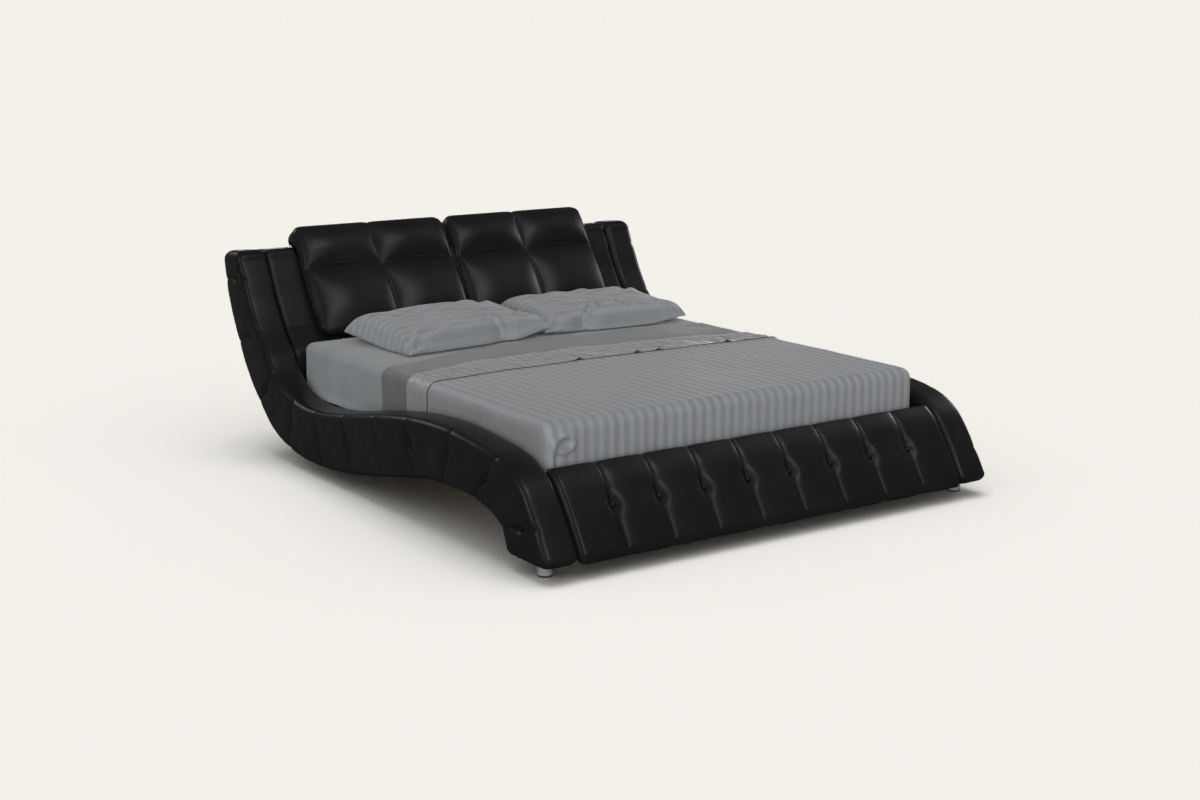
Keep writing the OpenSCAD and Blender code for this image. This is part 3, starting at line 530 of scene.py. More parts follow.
# ---- Foot panel ----
PANEL_LOW, PANEL_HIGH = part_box("foot_panel_cover")
PANEL_HALF = PANEL_HIGH.x
PANEL_SEAMS = (np.arange(1, PANEL_BUTTONS + 1) * 2 / (PANEL_BUTTONS + 1) - 1) * PANEL_HALF
PANEL_T = 0.040
PANEL_RECESS = 0.003               # how far its face lies behind the bands' fronts
PANEL_EDGE = 0.016                 # radius of its ends
PANEL_SUNK = 0.0155                # how far a button's foot lies under the face
PANEL_PLEAT = (0.0105, 0.036)      # a pleat's depth and reach
PANEL_TUFT = (0.012, 0.024, 0.038)
PANEL_LAST = 3.6                   # the station on the bands' curves that its top lies below


def foot_panel():
    """Rings round the panel's section, from left to right, pleated on its face."""
    t = np.linspace(0, PANEL_LAST, 200)
    f, b = curve(FRONT, t), curve(BACK, t)
    a = unit(b - f)
    face = f + PANEL_RECESS * a
    face = face[face[:, 1] < PANEL_HIGH.z - 0.010]
    face = np.vstack([[[face[0, 0], PANEL_LOW.z + 0.004]], face])
    back = face + PANEL_T * unit(np.vstack([[[1, 0.0]], a[:len(face) - 1]]))

    def roll(p, q, n, r):
        """Points from p to q on half an ellipse that rises by r along n."""
        m, h = (p + q) / 2, (q - p) / 2
        return [m - h * math.cos(w) + n * r * math.sin(w) for w in np.linspace(0, math.pi, 11)[1:-1]]

    over = roll(face[-1], back[-1], unit(face[-1] - face[-4]), 0.018)
    under = roll(back[0], face[0], np.array([0, -1.0]), 0.010)
    ring = sampled(np.vstack([face, over, back[::-1], under, face[:1]]), 0.006)[:-1]
    n2 = section_normals(ring)
    # Signed distance up the face from the row of buttons
    spot = curve(FRONT, PANEL_BUTTON_STATION)[0]
    row = np.sign(ring[:, 1] - spot[1]) * np.linalg.norm(ring - spot, axis=1)
    facing = smooth((-n2[:, 0] + 0.15) / 0.6)
    top = smooth((n2[:, 1] - 0.2) / 0.6)
    xs = spread(-PANEL_HALF, PANEL_HALF, PANEL_SEAMS, 0.0020, 0.0125, 0.05)
    rings = []
    for x, dx in zip(xs, nearest(xs, PANEL_SEAMS)):
        near = min(PANEL_HALF - abs(x), PANEL_EDGE)
        crown = 0.007 * facing * smooth(near / PANEL_EDGE)
        draw = pleat(np.full(len(ring), dx), row, 0.20, *PANEL_PLEAT, tuft=PANEL_TUFT) * facing
        # Each seam also notches the top edge
        notch = top * (0.006 * math.exp(-abs(dx) / 0.010))
        swell = crown - draw - rounding(near, PANEL_EDGE) - notch
        rings.append(at_x(x, ring + n2 * swell[:, None]))
    return np.array(rings)


leather_pad("foot_panel_leather", foot_panel(), ["foot_panel_cover", "foot_panel_foam"])
f0, b0 = curve(FRONT, PANEL_BUTTON_STATION)[0], curve(BACK, PANEL_BUTTON_STATION)[0]
tangent = unit(curve(FRONT, PANEL_BUTTON_STATION + 0.05)[0] - curve(FRONT, PANEL_BUTTON_STATION - 0.05)[0])
face_out = np.array([-tangent[1], tangent[0]])
foot = f0 + PANEL_RECESS * unit(b0 - f0) - face_out * PANEL_SUNK
tufts("foot_panel_tufts", [((x, *foot), (0, *face_out)) for x in PANEL_SEAMS], "foot_panel_buttons")

# ---- Headboard ----
HB_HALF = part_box("headboard_cover")[1].x
HB_LOW = 0.214
HB_EDGE = 0.012                    # radius of its ends, at the front
HB_SEAMS = (0.548, 0.558)          # heights of the two sewn lines across the front
HB_RECESS, HB_BACK_RECESS = 0.015, 0.010   # how far it lies inside the bands' curves


def end_cap(p, q, r, n):
    """Points over the section's end from p to q, with corners of radius r, bulging along n."""
    u = unit(q - p)
    first = [p + r * (u * (1 - math.cos(a)) + n * math.sin(a)) for a in np.radians(np.arange(10, 91, 10))]
    second = [q + r * (-u * (1 + math.cos(a)) + n * math.sin(a)) for a in np.radians(np.arange(90, 171, 10))]
    return np.array(first + second)


def headboard():
    """Rings round the headboard's section, from left to right."""
    def in_front(t):
        f, b = curve(FRONT, t), curve(BACK, t)
        return f + HB_RECESS * unit(b - f)

    def in_back(t):
        f, b = curve(FRONT, t), curve(BACK, t)
        return b - HB_BACK_RECESS * unit(b - f)

    behind = HEAD_Y + 0.012
    front = np.vstack([[[behind, HB_LOW]], [[behind, 0.430]], in_front(np.arange(15, LAST + 0.01, 1 / 3))])
    a = unit(curve(BACK, LAST)[0] - curve(FRONT, LAST)[0])
    cap = end_cap(in_front(LAST)[0], in_back(LAST)[0], 0.038, np.array([-a[1], a[0]]))
    back = in_back(np.arange(14 + 1 / 3, LAST + 0.01, 1 / 3))[::-1]
    corner = np.array([[in_back(14)[0][0], HB_LOW]])
    ring = sampled(np.vstack([front, cap, back, corner, front[:1]]), 0.008)[:-1]
    n2 = section_normals(ring)
    facing = smooth((-n2[:, 0] - 0.1) / 0.4)
    seams = sum(smooth(1 - np.abs(ring[:, 1] - z) / 0.0035) for z in HB_SEAMS)
    # The back stays nearly square at its ends, so that nothing shows between it and the bands
    squared = 1 - 0.9 * smooth(n2[:, 0] / 0.4)
    rings = []
    for x in spread(-HB_HALF, HB_HALF, [-HB_HALF, HB_HALF, -0.80, 0.80], 0.003, 0.03, 0.05):
        near = min(HB_HALF - abs(x), HB_EDGE)
        crown = 0.003 * smooth(near / HB_EDGE) * facing
        swell = crown - rounding(near, HB_EDGE) * squared - 0.0018 * seams * facing
        rings.append(at_x(x, ring + n2 * swell[:, None]))
    return np.array(rings)


leather_pad("headboard_leather", headboard(), ["headboard_cover", "headboard_foam"])

# ---- Headrests ----
SEAT_LOW, SEAT_HIGH = np.array(from_head(45.7, 497.1)), np.array(from_head(343.7, 960.1))
REST_L = np.linalg.norm(SEAT_HIGH - SEAT_LOW) + 0.006
REST_UP = unit(SEAT_HIGH - SEAT_LOW)
REST_BACK = np.array([REST_UP[1], -REST_UP[0]])
REST_T = 0.046
REST_LIP = 0.057                   # how far the roll over the top hangs down behind
REST_FOOT = SEAT_LOW - REST_T * REST_BACK
REST_X0, REST_X1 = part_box("right_headrest_cover")[0].x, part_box("right_headrest_cover")[1].x
REST_EDGE, REST_CORNER = 0.032, 0.055      # radii of the ends, from front to back and seen from the front
REST_SEAM = 0.585 * REST_L         # how far up the face the level seam lies
REST_PUFF = 0.042
REST_BOW = 0.017


def headrest(bow):
    """The right-hand headrest: a section in (a, b), a up the face and b back, drawn along x.
    Its upright seam bows towards +x by bow, below the level seam."""
    def arc(ca, cb, r, a0, a1):
        return [(ca - r * math.cos(w), cb + r * math.sin(w)) for w in np.radians(np.arange(a0, a1 + 1, 7.5))]

    r0 = REST_T / 2
    ring = arc(r0, r0, r0, -90, 90)
    ring += [(REST_L - 0.096, REST_T), (REST_L - 0.061, REST_T + 0.029)]
    ring += arc(REST_L - 0.020, REST_T + REST_LIP - 0.020, 0.020, 90, 180)
    ring += arc(REST_L - 0.030, 0.030, 0.030, 180, 270)
    ring = sampled(np.array(ring + ring[:1]), 0.0055)[:-1]
    n2 = section_normals(ring)
    a = ring[:, 0]
    mid_x = (REST_X0 + REST_X1) / 2
    cell = REST_X1 - mid_x
    facing = smooth((-n2[:, 1] + 0.25) / 0.9)          # the face and the roll over the top
    over = smooth((n2[:, 0] - 0.1) / 0.6) * (a > REST_L / 2)
    # The seams bend round the fuller cells
    seam_x = mid_x + bow * np.sin(np.clip(a / REST_SEAM, 0, 1) * math.pi) * (a < REST_SEAM)
    corners = smooth((a / REST_L - 0.6) / 0.4) - smooth((0.3 - a / REST_L) / 0.3)
    rings = []
    for x in spread(REST_X0, REST_X1, [REST_X0, REST_X1, mid_x], 0.0022, 0.0125, 0.06):
        end = min(x - REST_X0, REST_X1 - x)
        near = min(end, REST_EDGE)
        seam_a = REST_SEAM + 0.022 * (1 - min(1, abs(2 * abs(x - mid_x) / cell - 1)) ** 2)
        dv, dh = np.abs(x - seam_x), np.abs(a - seam_a)
        # Each cell is domed between its seams and its edges
        across = np.clip(2 * dv / cell - 1, -1, 1)
        up = np.where(a > seam_a, 2 * (a - seam_a) / (REST_L - 0.012 - seam_a) - 1,
                      2 * (seam_a - a) / (seam_a + 0.01) - 1)
        up = np.clip(up, -1, 1)
        dome = (1 - np.abs(across) ** 2.2) * (1 - np.abs(up) ** 2.3)
        puff = REST_PUFF * np.clip(dome, 0, 1) ** 0.8 * facing
        crease = 0.0030 * (bell(dv, 0.003) + bell(dh, 0.003) * smooth(near / REST_EDGE))
        hub = 0.006 * np.exp(-(np.hypot(dv / 0.03, dh / 0.03) ** 1.6))
        notch = 0.006 * np.exp(-dv / 0.012) * over
        swell = puff - (crease + hub) * facing - rounding(near, REST_EDGE) * 0.9 - notch
        ab = ring + n2 * (swell - 0.004 * facing)[:, None]
        ab[:, 0] -= rounding(min(end, REST_CORNER), REST_CORNER) * 0.8 * corners
        rings.append(at_x(x, REST_FOOT + ab[:, :1] * REST_UP + ab[:, 1:] * REST_BACK))
    return np.array(rings)


for side, s in SIDES.items():
    leather_pad(f"{side}_headrest_leather", mirrored(headrest(REST_BOW * s), s),
                [f"{side}_headrest_cover", f"{side}_headrest_foam"], body=f"{side}_headrest")

# ---- Bedding ----
SIDE_DROP = TOP_Z - 0.302          # how far the covers hang at the sides, to where they are tucked
FOOT_DROP = TOP_Z - 0.324
HALF_BED = MATTRESS_HIGH.x
EDGE_R = 0.036                     # radius of the mattress's edges; a cover's is more by what it stands off
FITTED_OFF, FLAT_OFF, BORDER_OFF, BLANKET_OFF = 0.002, 0.0055, 0.0105, 0.0118   # what each stands off


def wander(x, y, z, scale, seed):
    """noise at the points x, y, z, in the shape of x."""
    return noise(np.column_stack([np.ravel(x), np.ravel(y), np.ravel(z)]), scale, seed).reshape(np.shape(x))


def ripple(x, y):
    """The slight unevenness that every layer on the mattress shares, in metres."""
    return 0.0016 * wander(x, y, 0 * x, 0.55, 5) + 0.0009 * wander(x, y, 0 * x, 0.22, 6)


def wrap(grow, xs, y_steps, drop_side, ends, wall_step=0.0125):
    """A cover that stands off the mattress by grow: points, outward directions and faces.
    It runs along y_steps; ends maps +1 (head) or -1 (foot) to how far it hangs there."""
    r = EDGE_R + max(grow, 0)
    half, top = HALF_BED + grow, TOP_Z + grow
    # How far each point of a rounded edge leans over, from 0 on top to 1 on the wall
    lean = np.tan(np.radians(np.linspace(0, 90, 9)[1:-1]))
    lean = np.append(lean / (1 + lean), 1.0)

    def walls(depth):
        return np.arange(1, int(round(depth / wall_step)) + 1) * wall_step

    # Columns: side, distance from the middle, lean, and how far down the wall
    inner = xs[np.abs(xs) < half - r - 0.004]
    wall = walls(drop_side - r)
    col = ([(-1, half - r, 1.0, w) for w in wall[::-1]] + [(-1, half - r, s, 0.0) for s in lean[::-1]]
           + [(math.copysign(1, x), abs(x), 0.0, 0.0) for x in [r - half, *inner, half - r]]
           + [(1, half - r, s, 0.0) for s in lean] + [(1, half - r, 1.0, w) for w in wall])
    # Rows: y, lean towards the head, and how far down the wall
    rows = []
    lo, hi = FOOT_Y - grow + r, HEAD_Y + grow - r
    if 1 in ends:
        rows += [(hi, 1.0, w) for w in walls(ends[1] - r)[::-1]]
        rows += [(hi, s, 0.0) for s in lean[::-1]] + [(hi, 0.0, 0.0)]
        y_steps = y_steps[y_steps < hi - 0.004]
    if -1 in ends:
        y_steps = y_steps[y_steps > lo + 0.004]
    rows += [(y, 0.0, 0.0) for y in y_steps[::-1]]
    if -1 in ends:
        rows += [(lo, 0.0, 0.0)] + [(lo, -s, 0.0) for s in lean]
        rows += [(lo, -1.0, w) for w in walls(ends[-1] - r)]
    c, q = np.array(col), np.array(rows)
    shape = (len(q), len(c))
    sx = np.broadcast_to(c[:, 0] * c[:, 2], shape)
    sy = np.broadcast_to(q[:, 1:2], shape)
    n = unit(np.stack([sx, sy, 1 - np.maximum(np.abs(sx), np.abs(sy))], -1))
    hang = np.maximum(c[:, 3], q[:, 2:])
    base = np.stack([np.broadcast_to(c[:, 0] * c[:, 1], shape), np.broadcast_to(q[:, :1], shape),
                     top - r - hang], -1)
    # Faces, apart from those that would join two walls at a corner
    i, j = np.meshgrid(np.arange(len(q) - 1), np.arange(len(c) - 1), indexing="ij")
    both = (np.maximum(q[i, 2], q[i + 1, 2]) > 0) & (np.maximum(c[j, 3], c[j + 1, 3]) > 0)
    i, j = i[~both], j[~both]
    m = len(c)
    faces = np.stack([i * m + j, (i + 1) * m + j, (i + 1) * m + j + 1, i * m + j + 1], -1)
    return base + r * n, n, faces


def trimmed(p, faces):
    """The points of p that faces use, and faces numbered for them."""
    used = np.unique(faces)
    index = np.full(p[..., 0].size, -1)
    index[used] = np.arange(len(used))
    return p.reshape(-1, 3)[used], index[faces]


def cloth_piece(name, p, faces, material, slot, node, thick):
    """A sheet of cloth with its outer side up, thick metres thick, on the mattress."""
    obj = piece(name, *trimmed(p, faces), material, None, slot, nodes=[node])
    bm = bmesh.new()
    bm.from_mesh(obj.data)
    if sum(f.normal.z * f.calc_area() for f in bm.faces) < 0:
        bmesh.ops.reverse_faces(bm, faces=bm.faces)
    bm.to_mesh(obj.data)
    bm.free()
    shell = obj.modifiers.new("thickness", "SOLIDIFY")
    shell.thickness = thick
    shell.offset = -1
    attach(obj, "mattress_set")


def lift(p, n, extra=0.0):
    """A cover's points, moved outwards by the shared ripple and by extra."""
    x, y, z = np.moveaxis(p, -1, 0)
    amount = ripple(x, y) + 0.5 * ripple(z * 2 + 5, y + x) * (1 - n[..., 2])
    return p + n * (amount + extra)[..., None]


# Mattress, with a sewn tape round its edges
XS = np.linspace(-HALF_BED, HALF_BED, 121)
p, n, faces = wrap(-0.0005, XS, np.arange(FOOT_Y, HEAD_Y, 0.025), 0.213, {1: 0.213, -1: 0.213})
tape = 0.0012 * bell(p[..., 2] - TOP_Z + 0.055, 0.006) * (1 - n[..., 2])
p = p + n * (ripple(p[..., 0], p[..., 1]) - 0.002 + tape)[..., None]
mattress = piece("mattress_ticking", *trimmed(p, faces), TICKING, None, "mattress_ticking",
                 nodes=["mattress"])
bm = bmesh.new()
bm.from_mesh(mattress.data)
bmesh.ops.holes_fill(bm, edges=bm.edges)
bmesh.ops.recalc_face_normals(bm, faces=bm.faces)
bm.to_mesh(mattress.data)
bm.free()
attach(mattress, "mattress_set")

# Fitted sheet, with a long fold on the left side, slack low down, and its hem spread over the bands
p, n, faces = wrap(FITTED_OFF, XS, np.arange(FOOT_Y, HEAD_Y, 0.02), 0.21, {1: 0.21, -1: 0.21})
x, y, z = np.moveaxis(p, -1, 0)
fold = 0.005 * bell(y - 0.52 + 0.6 * (z - 0.4), 0.012) * np.clip(-n[..., 0], 0, 1)
slack = 0.003 * smooth((0.45 - z) / 0.15) * (1 - n[..., 2])
spill = 0.030 * smooth((0.3015 - z) / 0.014) * np.abs(n[..., 0]) * smooth((0.86 - np.abs(y)) / 0.05)
p = lift(p, n, fold + slack + spill)
cloth_piece("fitted_sheet_cloth", p, faces, SHEET_PLAIN, "plain_sheet", "fitted_sheet", 0.002)

# Flat sheet, its edge drawn back on the left
FLAT_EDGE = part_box("flat_sheet")[1].y
FLAT_EDGE_X = [-0.92, -0.75, -0.40, 0.0, 0.5, 0.92]
FLAT_EDGE_Y = [0.185, 0.215, 0.345, 0.372, 0.350, 0.300]
p, n, faces = wrap(FLAT_OFF, XS, np.arange(-0.60, FLAT_EDGE + 0.001, 0.0125), SIDE_DROP, {})
p = lift(p, n)
drawn = np.interp(p[..., 0], FLAT_EDGE_X, FLAT_EDGE_Y) - FLAT_EDGE
p[..., 1] += drawn * smooth(1 - (FLAT_EDGE - p[..., 1]) / 0.5)
cloth_piece("flat_sheet_cloth", p, faces, SHEET_DARK, "dark_sheet", "flat_sheet", 0.0025)

# Turned-back border, with small gathers; its edge gapes here and there above the dark cord that paints the
# shadow beneath it
GAPES = [-0.16, 0.14, 0.25, 0.62]
EDGE_X = [-0.92, -0.5, 0.0, 0.5, 0.92]     # the line of the border's foot edge, and of its head edge
EDGE_Y = [-0.232, -0.192, -0.194, -0.209, -0.225]
HEAD_EDGE_Y = [-0.050, 0.070, 0.095, 0.030, -0.060]
BORDER_LOW, BORDER_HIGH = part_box("turned_border")[0].y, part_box("turned_border")[1].y
p, n, faces = wrap(BORDER_OFF, np.linspace(-HALF_BED, HALF_BED, 241),
                   np.linspace(BORDER_LOW, BORDER_HIGH, 45), SIDE_DROP, {})
x, y, z = np.moveaxis(p, -1, 0)
share = (y - BORDER_LOW) / (BORDER_HIGH - BORDER_LOW)
gathers = 0.0035 * wander(x, y * 0.35, z, 0.085, 11) + 0.0022 * wander(x + 0.5 * y, y * 0.8, z, 0.042, 12)
gape = sum(np.clip(1 - np.abs(x - at) / 0.030, 0, 1) for at in GAPES) * smooth(z / TOP_Z * 40 - 39)
rise = 0.017 * gape * bell(share, 0.16) + gathers * np.sin(math.pi * np.clip(share, 0, 1))
p = lift(p, n, rise + 0.0035 * bell(share, 0.10) + 0.0015)
x = p[..., 0]
y0, y1 = np.interp(x, EDGE_X, EDGE_Y), np.interp(x, EDGE_X, HEAD_EDGE_Y)
wave = 0.006 * np.sin(x * 23 + 1) + 0.004 * np.sin(x * 51)
p[..., 1] = y0 + (y1 + wave - y0) * share
cloth_piece("turned_border_cloth", p, faces, BORDER_STRIPED, "striped_cotton", "turned_border", 0.003)

# Striped blanket
BLANKET_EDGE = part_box("blanket")[1].y
p, n, faces = wrap(BLANKET_OFF, spread(-HALF_BED, HALF_BED, [-0.85, 0.88], 0.004, 0.0155, 0.11),
                   spread(FOOT_Y, BLANKET_EDGE, [FOOT_Y, BLANKET_EDGE], 0.005, 0.018, 0.12), SIDE_DROP,
                   {-1: FOOT_DROP}, wall_step=0.0062)
x, y, z = np.moveaxis(p, -1, 0)
# The tucked corner at the left of the foot: a rolled curl over an upright crease
curl = np.hypot((x + 0.832) / 1.3, z - 0.423)
corner = 0.017 * bell(curl - 0.029, 0.010) - 0.014 * bell(curl, 0.017)
crease = -0.012 * bell(x + 0.862, 0.0045) * smooth((0.43 - z) / 0.02)
roll_up = 0.010 * bell(x + 0.885, 0.014) * smooth((0.48 - z) / 0.05)
right_fold = -0.007 * bell(x - 0.884, 0.0035) * smooth((0.47 - z) / 0.03) + 0.004 * bell(x - 0.898, 0.008)
drape = 0.0022 * np.sin(x * 31 + 2 * np.sin(x * 5)) * smooth((0.47 - z) / 0.12)
foot_folds = np.clip(-n[..., 1], 0, 1) * (corner + crease + roll_up + right_fold + drape)
side_waves = np.abs(n[..., 0]) * 0.0025 * wander(x * 0, y, z * 0.4, 0.16, 8)
p = lift(p, n, foot_folds + 0.004 * bell(BLANKET_EDGE - y, 0.012) + side_waves)
p[..., 1] += (np.interp(x, EDGE_X, EDGE_Y) - 0.004 - BLANKET_EDGE) * smooth(1 - (BLANKET_EDGE - y) / 0.5)
cloth_piece("blanket_cloth", p, faces, SHEET_STRIPED, "striped_cotton", "blanket", 0.005)

# A dark cord along the blanket's head edge: painted shade, standing in for the shadow under the turned
# border's edge
SHADE_CORD_R, SHADE_CORD_ROUND = 0.0024, 10
line = p[0] + n[0] * 0.0005 + [0, 0.0022, 0]
t = unit(np.gradient(line, axis=0))
u = unit(np.cross(t, [0.0, 1.0, 0.0]))[:, None, :]
w = np.cross(t, u[:, 0])[:, None, :]
turn = np.linspace(0, 2 * math.pi, SHADE_CORD_ROUND, endpoint=False)[None, :, None]
rings = line[:, None, :] + SHADE_CORD_R * (np.cos(turn) * u + np.sin(turn) * w)
piece("blanket_shade_cord", rings.reshape(-1, 3), loft_faces(len(line), SHADE_CORD_ROUND), SHADE_CORD, "mattress_set",
      "black_leather")

# ---- Pillows ----
# Length and width, turn in degrees, shift, and rise of the two front tips; the creases in the front are
# place, slant, depth, and from where to where
PILLOWS = {
    "left": dict(size=(0.785, 0.525), turn=6, shift=(-0.012, -0.006), tips=(0.0, 0.030), seed=21,
                 folds=[(0.13, -0.35, 0.012, -0.27, -0.12), (0.17, 0.9, 0.008, -0.22, -0.08)]),
    "right": dict(size=(0.775, 0.505), turn=-3, shift=(-0.05, 0.010), tips=(0.010, 0.024), seed=34,
                  folds=[(-0.18, 0.8, 0.014, -0.27, -0.12), (-0.06, 0.1, 0.009, -0.20, -0.07),
                         (0.10, -0.2, 0.008, -0.20, -0.07)]),
}
PILLOW_HEIGHT = 0.124
BACK_TIP_RISE = 0.012
CLOTH_FRAMES = 10


def inflated(obj):
    """The points of obj after a short cloth simulation with pressure inside it."""
    cloth = obj.modifiers.new("cloth", "CLOTH")
    cs = cloth.settings
    cs.quality = 6
    cs.mass = 0.25
    cs.tension_stiffness = cs.compression_stiffness = 20
    cs.shear_stiffness = 7
    cs.bending_stiffness = 0.4
    cs.air_damping = 4
    cs.use_pressure = True
    cs.uniform_pressure_force = 2.2
    cs.effector_weights.gravity = 0
    cloth.collision_settings.use_collision = False
    cloth.collision_settings.use_self_collision = False
    cloth.point_cache.frame_end = CLOTH_FRAMES
    scene = bpy.context.scene
    for k in range(1, CLOTH_FRAMES + 1):
        scene.frame_set(k)
    done = obj.evaluated_get(bpy.context.evaluated_depsgraph_get())
    co = np.empty(len(done.data.vertices) * 3)
    done.data.vertices.foreach_get("co", co)
    obj.modifiers.clear()
    scene.frame_set(1)
    return co.reshape(-1, 3)


def pillow(side, size, turn, shift, tips, seed, folds):
    """A pillow: two sheets joined at the rim, inflated, creased, and laid on the bed."""
    length, width = size
    low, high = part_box(f"{side}_pillow_case")
    centre = (low + high) / 2
    nx, ny = ((76, 52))
    gx, gy = np.meshgrid(np.linspace(-0.5, 0.5, nx + 1), np.linspace(-0.5, 0.5, ny + 1), indexing="ij")
    flat = np.stack([gx * length, gy * width], -1)
    lens = (1 - (2 * np.abs(gx)) ** 4) * (1 - (2 * np.abs(gy)) ** 4)
    rise = 0.012 * lens + 0.004 * wander(flat[..., 0], flat[..., 1], gx * 0, 0.12, seed) * lens
    rim = (np.abs(gx) > 0.4999) | (np.abs(gy) > 0.4999)
    index_top = np.arange(gx.size).reshape(gx.shape)
    index_low = index_top.copy()
    index_low[~rim] = gx.size + np.arange((~rim).sum())
    top = np.concatenate([flat, rise[..., None]], -1).reshape(-1, 3)
    under = np.concatenate([flat, -rise[..., None]], -1)[~rim]
    faces = []
    for idx, turned in ((index_top, False), (index_low, True)):
        ring = [part.ravel() for part in (idx[:-1, :-1], idx[1:, :-1], idx[1:, 1:], idx[:-1, 1:])]
        faces += np.stack(ring[::-1] if turned else ring, -1).tolist()
    obj = piece(f"{side}_pillow_cloth", np.vstack([top, under]), faces, PILLOW_STRIPED, None,
                "striped_cotton", uv=np.vstack([flat.reshape(-1, 2), flat[~rim]]))
    co = inflated(obj)
    co[:, :2] *= np.array([length, width]) / (co[:, :2].max(0) - co[:, :2].min(0))
    x, y, z = co.T
    lifted = np.zeros(len(co))
    back_tips = (-1, 1, BACK_TIP_RISE), (1, 1, BACK_TIP_RISE)
    for cx, cy, tip_rise in ((-1, -1, tips[0]), (1, -1, tips[1]), *back_tips):
        dx, dy = x - cx * length / 2, y - cy * width / 2
        r, w = np.hypot(dx, dy), np.arctan2(dy, dx)
        lifted += tip_rise * smooth(1 - r / 0.22)
        # Creases run in from the tips
        z = z + 0.005 * np.sin(10 * w + seed + cx) * bell(r, 0.17) * smooth(r / 0.06) * np.sign(z)
    up = z > 0
    for at, slant, deep, lo_y, hi_y in folds:
        dx = x - at - slant * (y + width / 2)
        middle, half = (lo_y + hi_y) / 2, (hi_y - lo_y) / 2
        here = np.exp(-(((y - middle) / half) ** 4)) * up
        z = z + here * deep * (0.7 * bell(dx - 0.014, 0.010) - bell(dx, 0.007))
    # The first crease draws the front edge in
    y = y + 0.022 * bell(x - folds[0][0], 0.05) * smooth((-0.12 - y) / 0.12)
    # It rests on the sheet: the lower half is flattened, most at the front, and the back is raised
    back = smooth((y + 0.12) / 0.30)
    z = np.where(up, PILLOW_HEIGHT * (np.clip(z, 0, 1) / z.max()) ** 0.85, z * (0.20 + 0.45 * back))
    z = z + 0.022 * back + lifted
    z = z - z.min() + 0.0015
    c, s = math.cos(math.radians(turn)), math.sin(math.radians(turn))
    placed = np.column_stack([centre.x + shift[0] + x * c - y * s, centre.y + shift[1] + x * s + y * c,
                              low.z + z])
    obj.data.vertices.foreach_set("co", placed.ravel())
    obj.data.update()
    sub = obj.modifiers.new("smooth", "SUBSURF")
    sub.levels = sub.render_levels = 1
    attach(obj, f"{side}_pillow")
    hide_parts(f"{side}_pillow_case", f"{side}_pillow_insert")


for side, looks in PILLOWS.items():
    pillow(side, **looks)

# ---- CAD parts that stay as they are ----
FINISHES = [
    (PLYWOOD, "plywood", ["left_band_boards", "right_band_boards", "headboard_panel", "headboard_ribs",
                          "foot_panel_board", "left_headrest_board", "right_headrest_board"]),
    (TIMBER, "timber", ["left_band_blocks", "right_band_blocks", "headboard_rails", "foot_rail", "head_rail",
                        "panel_cleats"]),
    (BEECH, "beech", ["left_slats", "right_slats"]),
    (BLACK_STEEL, "black_steel", ["left_ledger", "right_ledger", "centre_beam", "beam_hangers", "centre_legs",
                                  "corner_brackets"]),
    (ZINC, "zinc_steel", ["headboard_screws", "corner_bolts", "ledger_screws", "left_hinge_bases",
                          "right_hinge_bases", "hinge_screws", "left_hinge_arms", "right_hinge_arms",
                          "left_hinge_pins", "right_hinge_pins"]),
    (FOOT_METAL, "foot_metal", ["front_feet", "rear_legs"]),
    (PLASTIC, "black_plastic", ["slat_holders", "floor_pads"]),
]
for material, slot, names in FINISHES:
    for name in names:
        mesh = NODES[name].data
        mesh.materials.clear()
        mesh.materials.append(material)

# ---- Floor and sky ----
PALE = (0.905, 0.879, 0.823)       # the background's colour
SKY_MIRRORED = (0.10, 0.102, 0.105)
SKY_LOW, SKY_HIGH = 0.10, 0.42     # the light from the sky at the horizon and overhead
# The floor is brightened for the camera, so that lit as the bed is, it comes out as pale as the background
FLOOR_SEEN, FLOOR_MIRRORED, FLOOR_LIT = (1.83, 1.787, 1.68), (0.20, 0.20, 0.20), (0.95, 0.925, 0.89)


def by_ray(nt, seen, mirrored_as, lit):
    """Three colours joined by what kind of ray arrives: the camera's, a reflection's, or any other.
    lit is a colour or a node's output."""
    path = nt.nodes.new("ShaderNodeLightPath")
    first = add(nt, "ShaderNodeMix", data_type="RGBA")
    second = add(nt, "ShaderNodeMix", data_type="RGBA")
    link(nt, path, "Is Glossy Ray", first, 0)
    if isinstance(lit, tuple):
        first.inputs[6].default_value = (*lit, 1)
    else:
        nt.links.new(lit, first.inputs[6])
    first.inputs[7].default_value = (*mirrored_as, 1)
    link(nt, path, "Is Camera Ray", second, 0)
    nt.links.new(first.outputs[2], second.inputs[6])
    second.inputs[7].default_value = (*seen, 1)
    return second.outputs[2]


FLOOR, nt, bsdf = tree("floor_pale")
nt.links.new(by_ray(nt, FLOOR_SEEN, FLOOR_MIRRORED, FLOOR_LIT), bsdf.inputs["Base Color"])
bsdf.inputs["Roughness"].default_value = 1.0
bsdf.inputs["Specular IOR Level"].default_value = 0.0
me = bpy.data.meshes.new("floor")
me.from_pydata([(-300, -300, 0), (300, -300, 0), (300, 300, 0), (-300, 300, 0)], [], [(0, 1, 2, 3)])
me.materials.append(FLOOR)
floor = bpy.data.objects.new("floor", me)
bpy.context.scene.collection.objects.link(floor)
floor.location.z = -0.0005

world = bpy.data.worlds.new("studio")
bpy.context.scene.world = world
world.use_nodes = True
nt = world.node_tree
direction = placed_by(nt, add(nt, "ShaderNodeSeparateXYZ"), "Generated")
height = mapped(nt, direction, "Z", SKY_LOW, SKY_HIGH)
nt.links.new(by_ray(nt, PALE, SKY_MIRRORED, height.outputs["Result"]), nt.nodes["Background"].inputs["Color"])

# ---- Lights ----
AIM, AWAY = Vector((0, 0, 0.4)), 8.0       # the point that the lamps face, and how far off they are


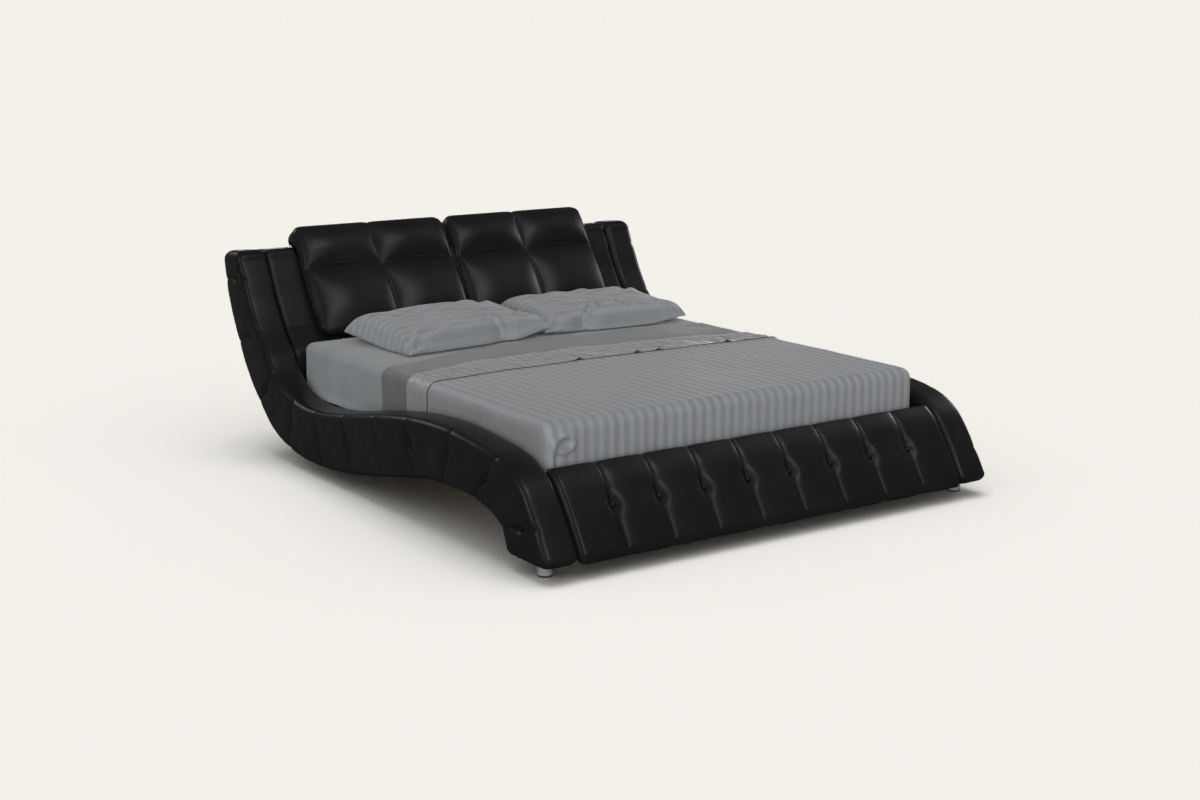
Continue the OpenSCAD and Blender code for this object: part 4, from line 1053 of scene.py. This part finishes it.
def lamp(name, kind, direction):
    """A lamp in that direction from the bed, facing it; returns its object and data."""
    data = bpy.data.lights.new(name, kind)
    obj = bpy.data.objects.new(name, data)
    d = Vector(direction).normalized()
    obj.location = AIM + d * AWAY
    obj.rotation_mode = "QUATERNION"
    obj.rotation_quaternion = d.to_track_quat("Z", "Y")
    bpy.context.scene.collection.objects.link(obj)
    return obj, data


def softbox(name, direction, size, radiance):
    """A softbox that shows in gloss only; the suns and the sky light the rest."""
    obj, data = lamp(name, "AREA", direction)
    data.shape = "RECTANGLE"
    data.size, data.size_y = size
    data.energy = radiance * math.pi * size[0] * size[1]
    obj.visible_diffuse = False


def sun(name, direction, strength, angle):
    """A soft sun that doesn't show in gloss."""
    obj, data = lamp(name, "SUN", direction)
    data.energy = strength
    data.angle = math.radians(angle)
    obj.visible_glossy = False
    return obj


sun("key", (0.10, 0.25, 1.0), 0.58, 42)
fill = sun("fill", (-0.58, -0.76, 0.20), 4.1, 50)
# The fill doesn't light the floor, which keeps only the shadows of the key and the sky
fill_takes = bpy.data.collections.new("fill_takes")
fill_takes.objects.link(floor)
fill_takes.collection_objects[0].light_linking.link_state = "EXCLUDE"
fill.light_linking.receiver_collection = fill_takes
softbox("softbox_back", (0.47, 0.87, 0.03), (5.0, 0.8), 8.0)
softbox("softbox_rear", (-0.32, 0.83, 0.44), (2.2, 0.7), 5.0)
softbox("softbox_front", (-0.15, -0.86, 0.48), (3.0, 1.2), 4.5)
softbox("softbox_wide", (0.60, -0.23, 0.76), (4.0, 2.4), 0.35)
softbox("softbox_over", (-0.02, -0.54, 0.84), (3.0, 1.1), 6.0)
softbox("softbox_left", (-0.82, -0.30, 0.42), (1.0, 2.4), 5.0)
softbox("softbox_right", (0.93, 0.08, 0.34), (1.4, 1.8), 7.0)

# ---- Camera ----
CAMERA_AT = (-4.2622, -6.2953, 1.9484)
CAMERA_TURN, CAMERA_RISE = math.radians(-34.593), math.radians(12.337)
cam_data = bpy.data.cameras.new("camera")
cam_data.lens = 53.36
cam_data.sensor_width = 36
cam = bpy.data.objects.new("camera", cam_data)
bpy.context.scene.collection.objects.link(cam)
back = Vector((math.sin(CAMERA_TURN) * math.cos(CAMERA_RISE), -math.cos(CAMERA_TURN) * math.cos(CAMERA_RISE),
               math.sin(CAMERA_RISE)))
cam.location = CAMERA_AT
cam.rotation_mode = "QUATERNION"
cam.rotation_quaternion = (-back).to_track_quat("-Z", "Y")
bpy.context.scene.camera = cam
bpy.context.scene.view_settings.view_transform = "Standard"
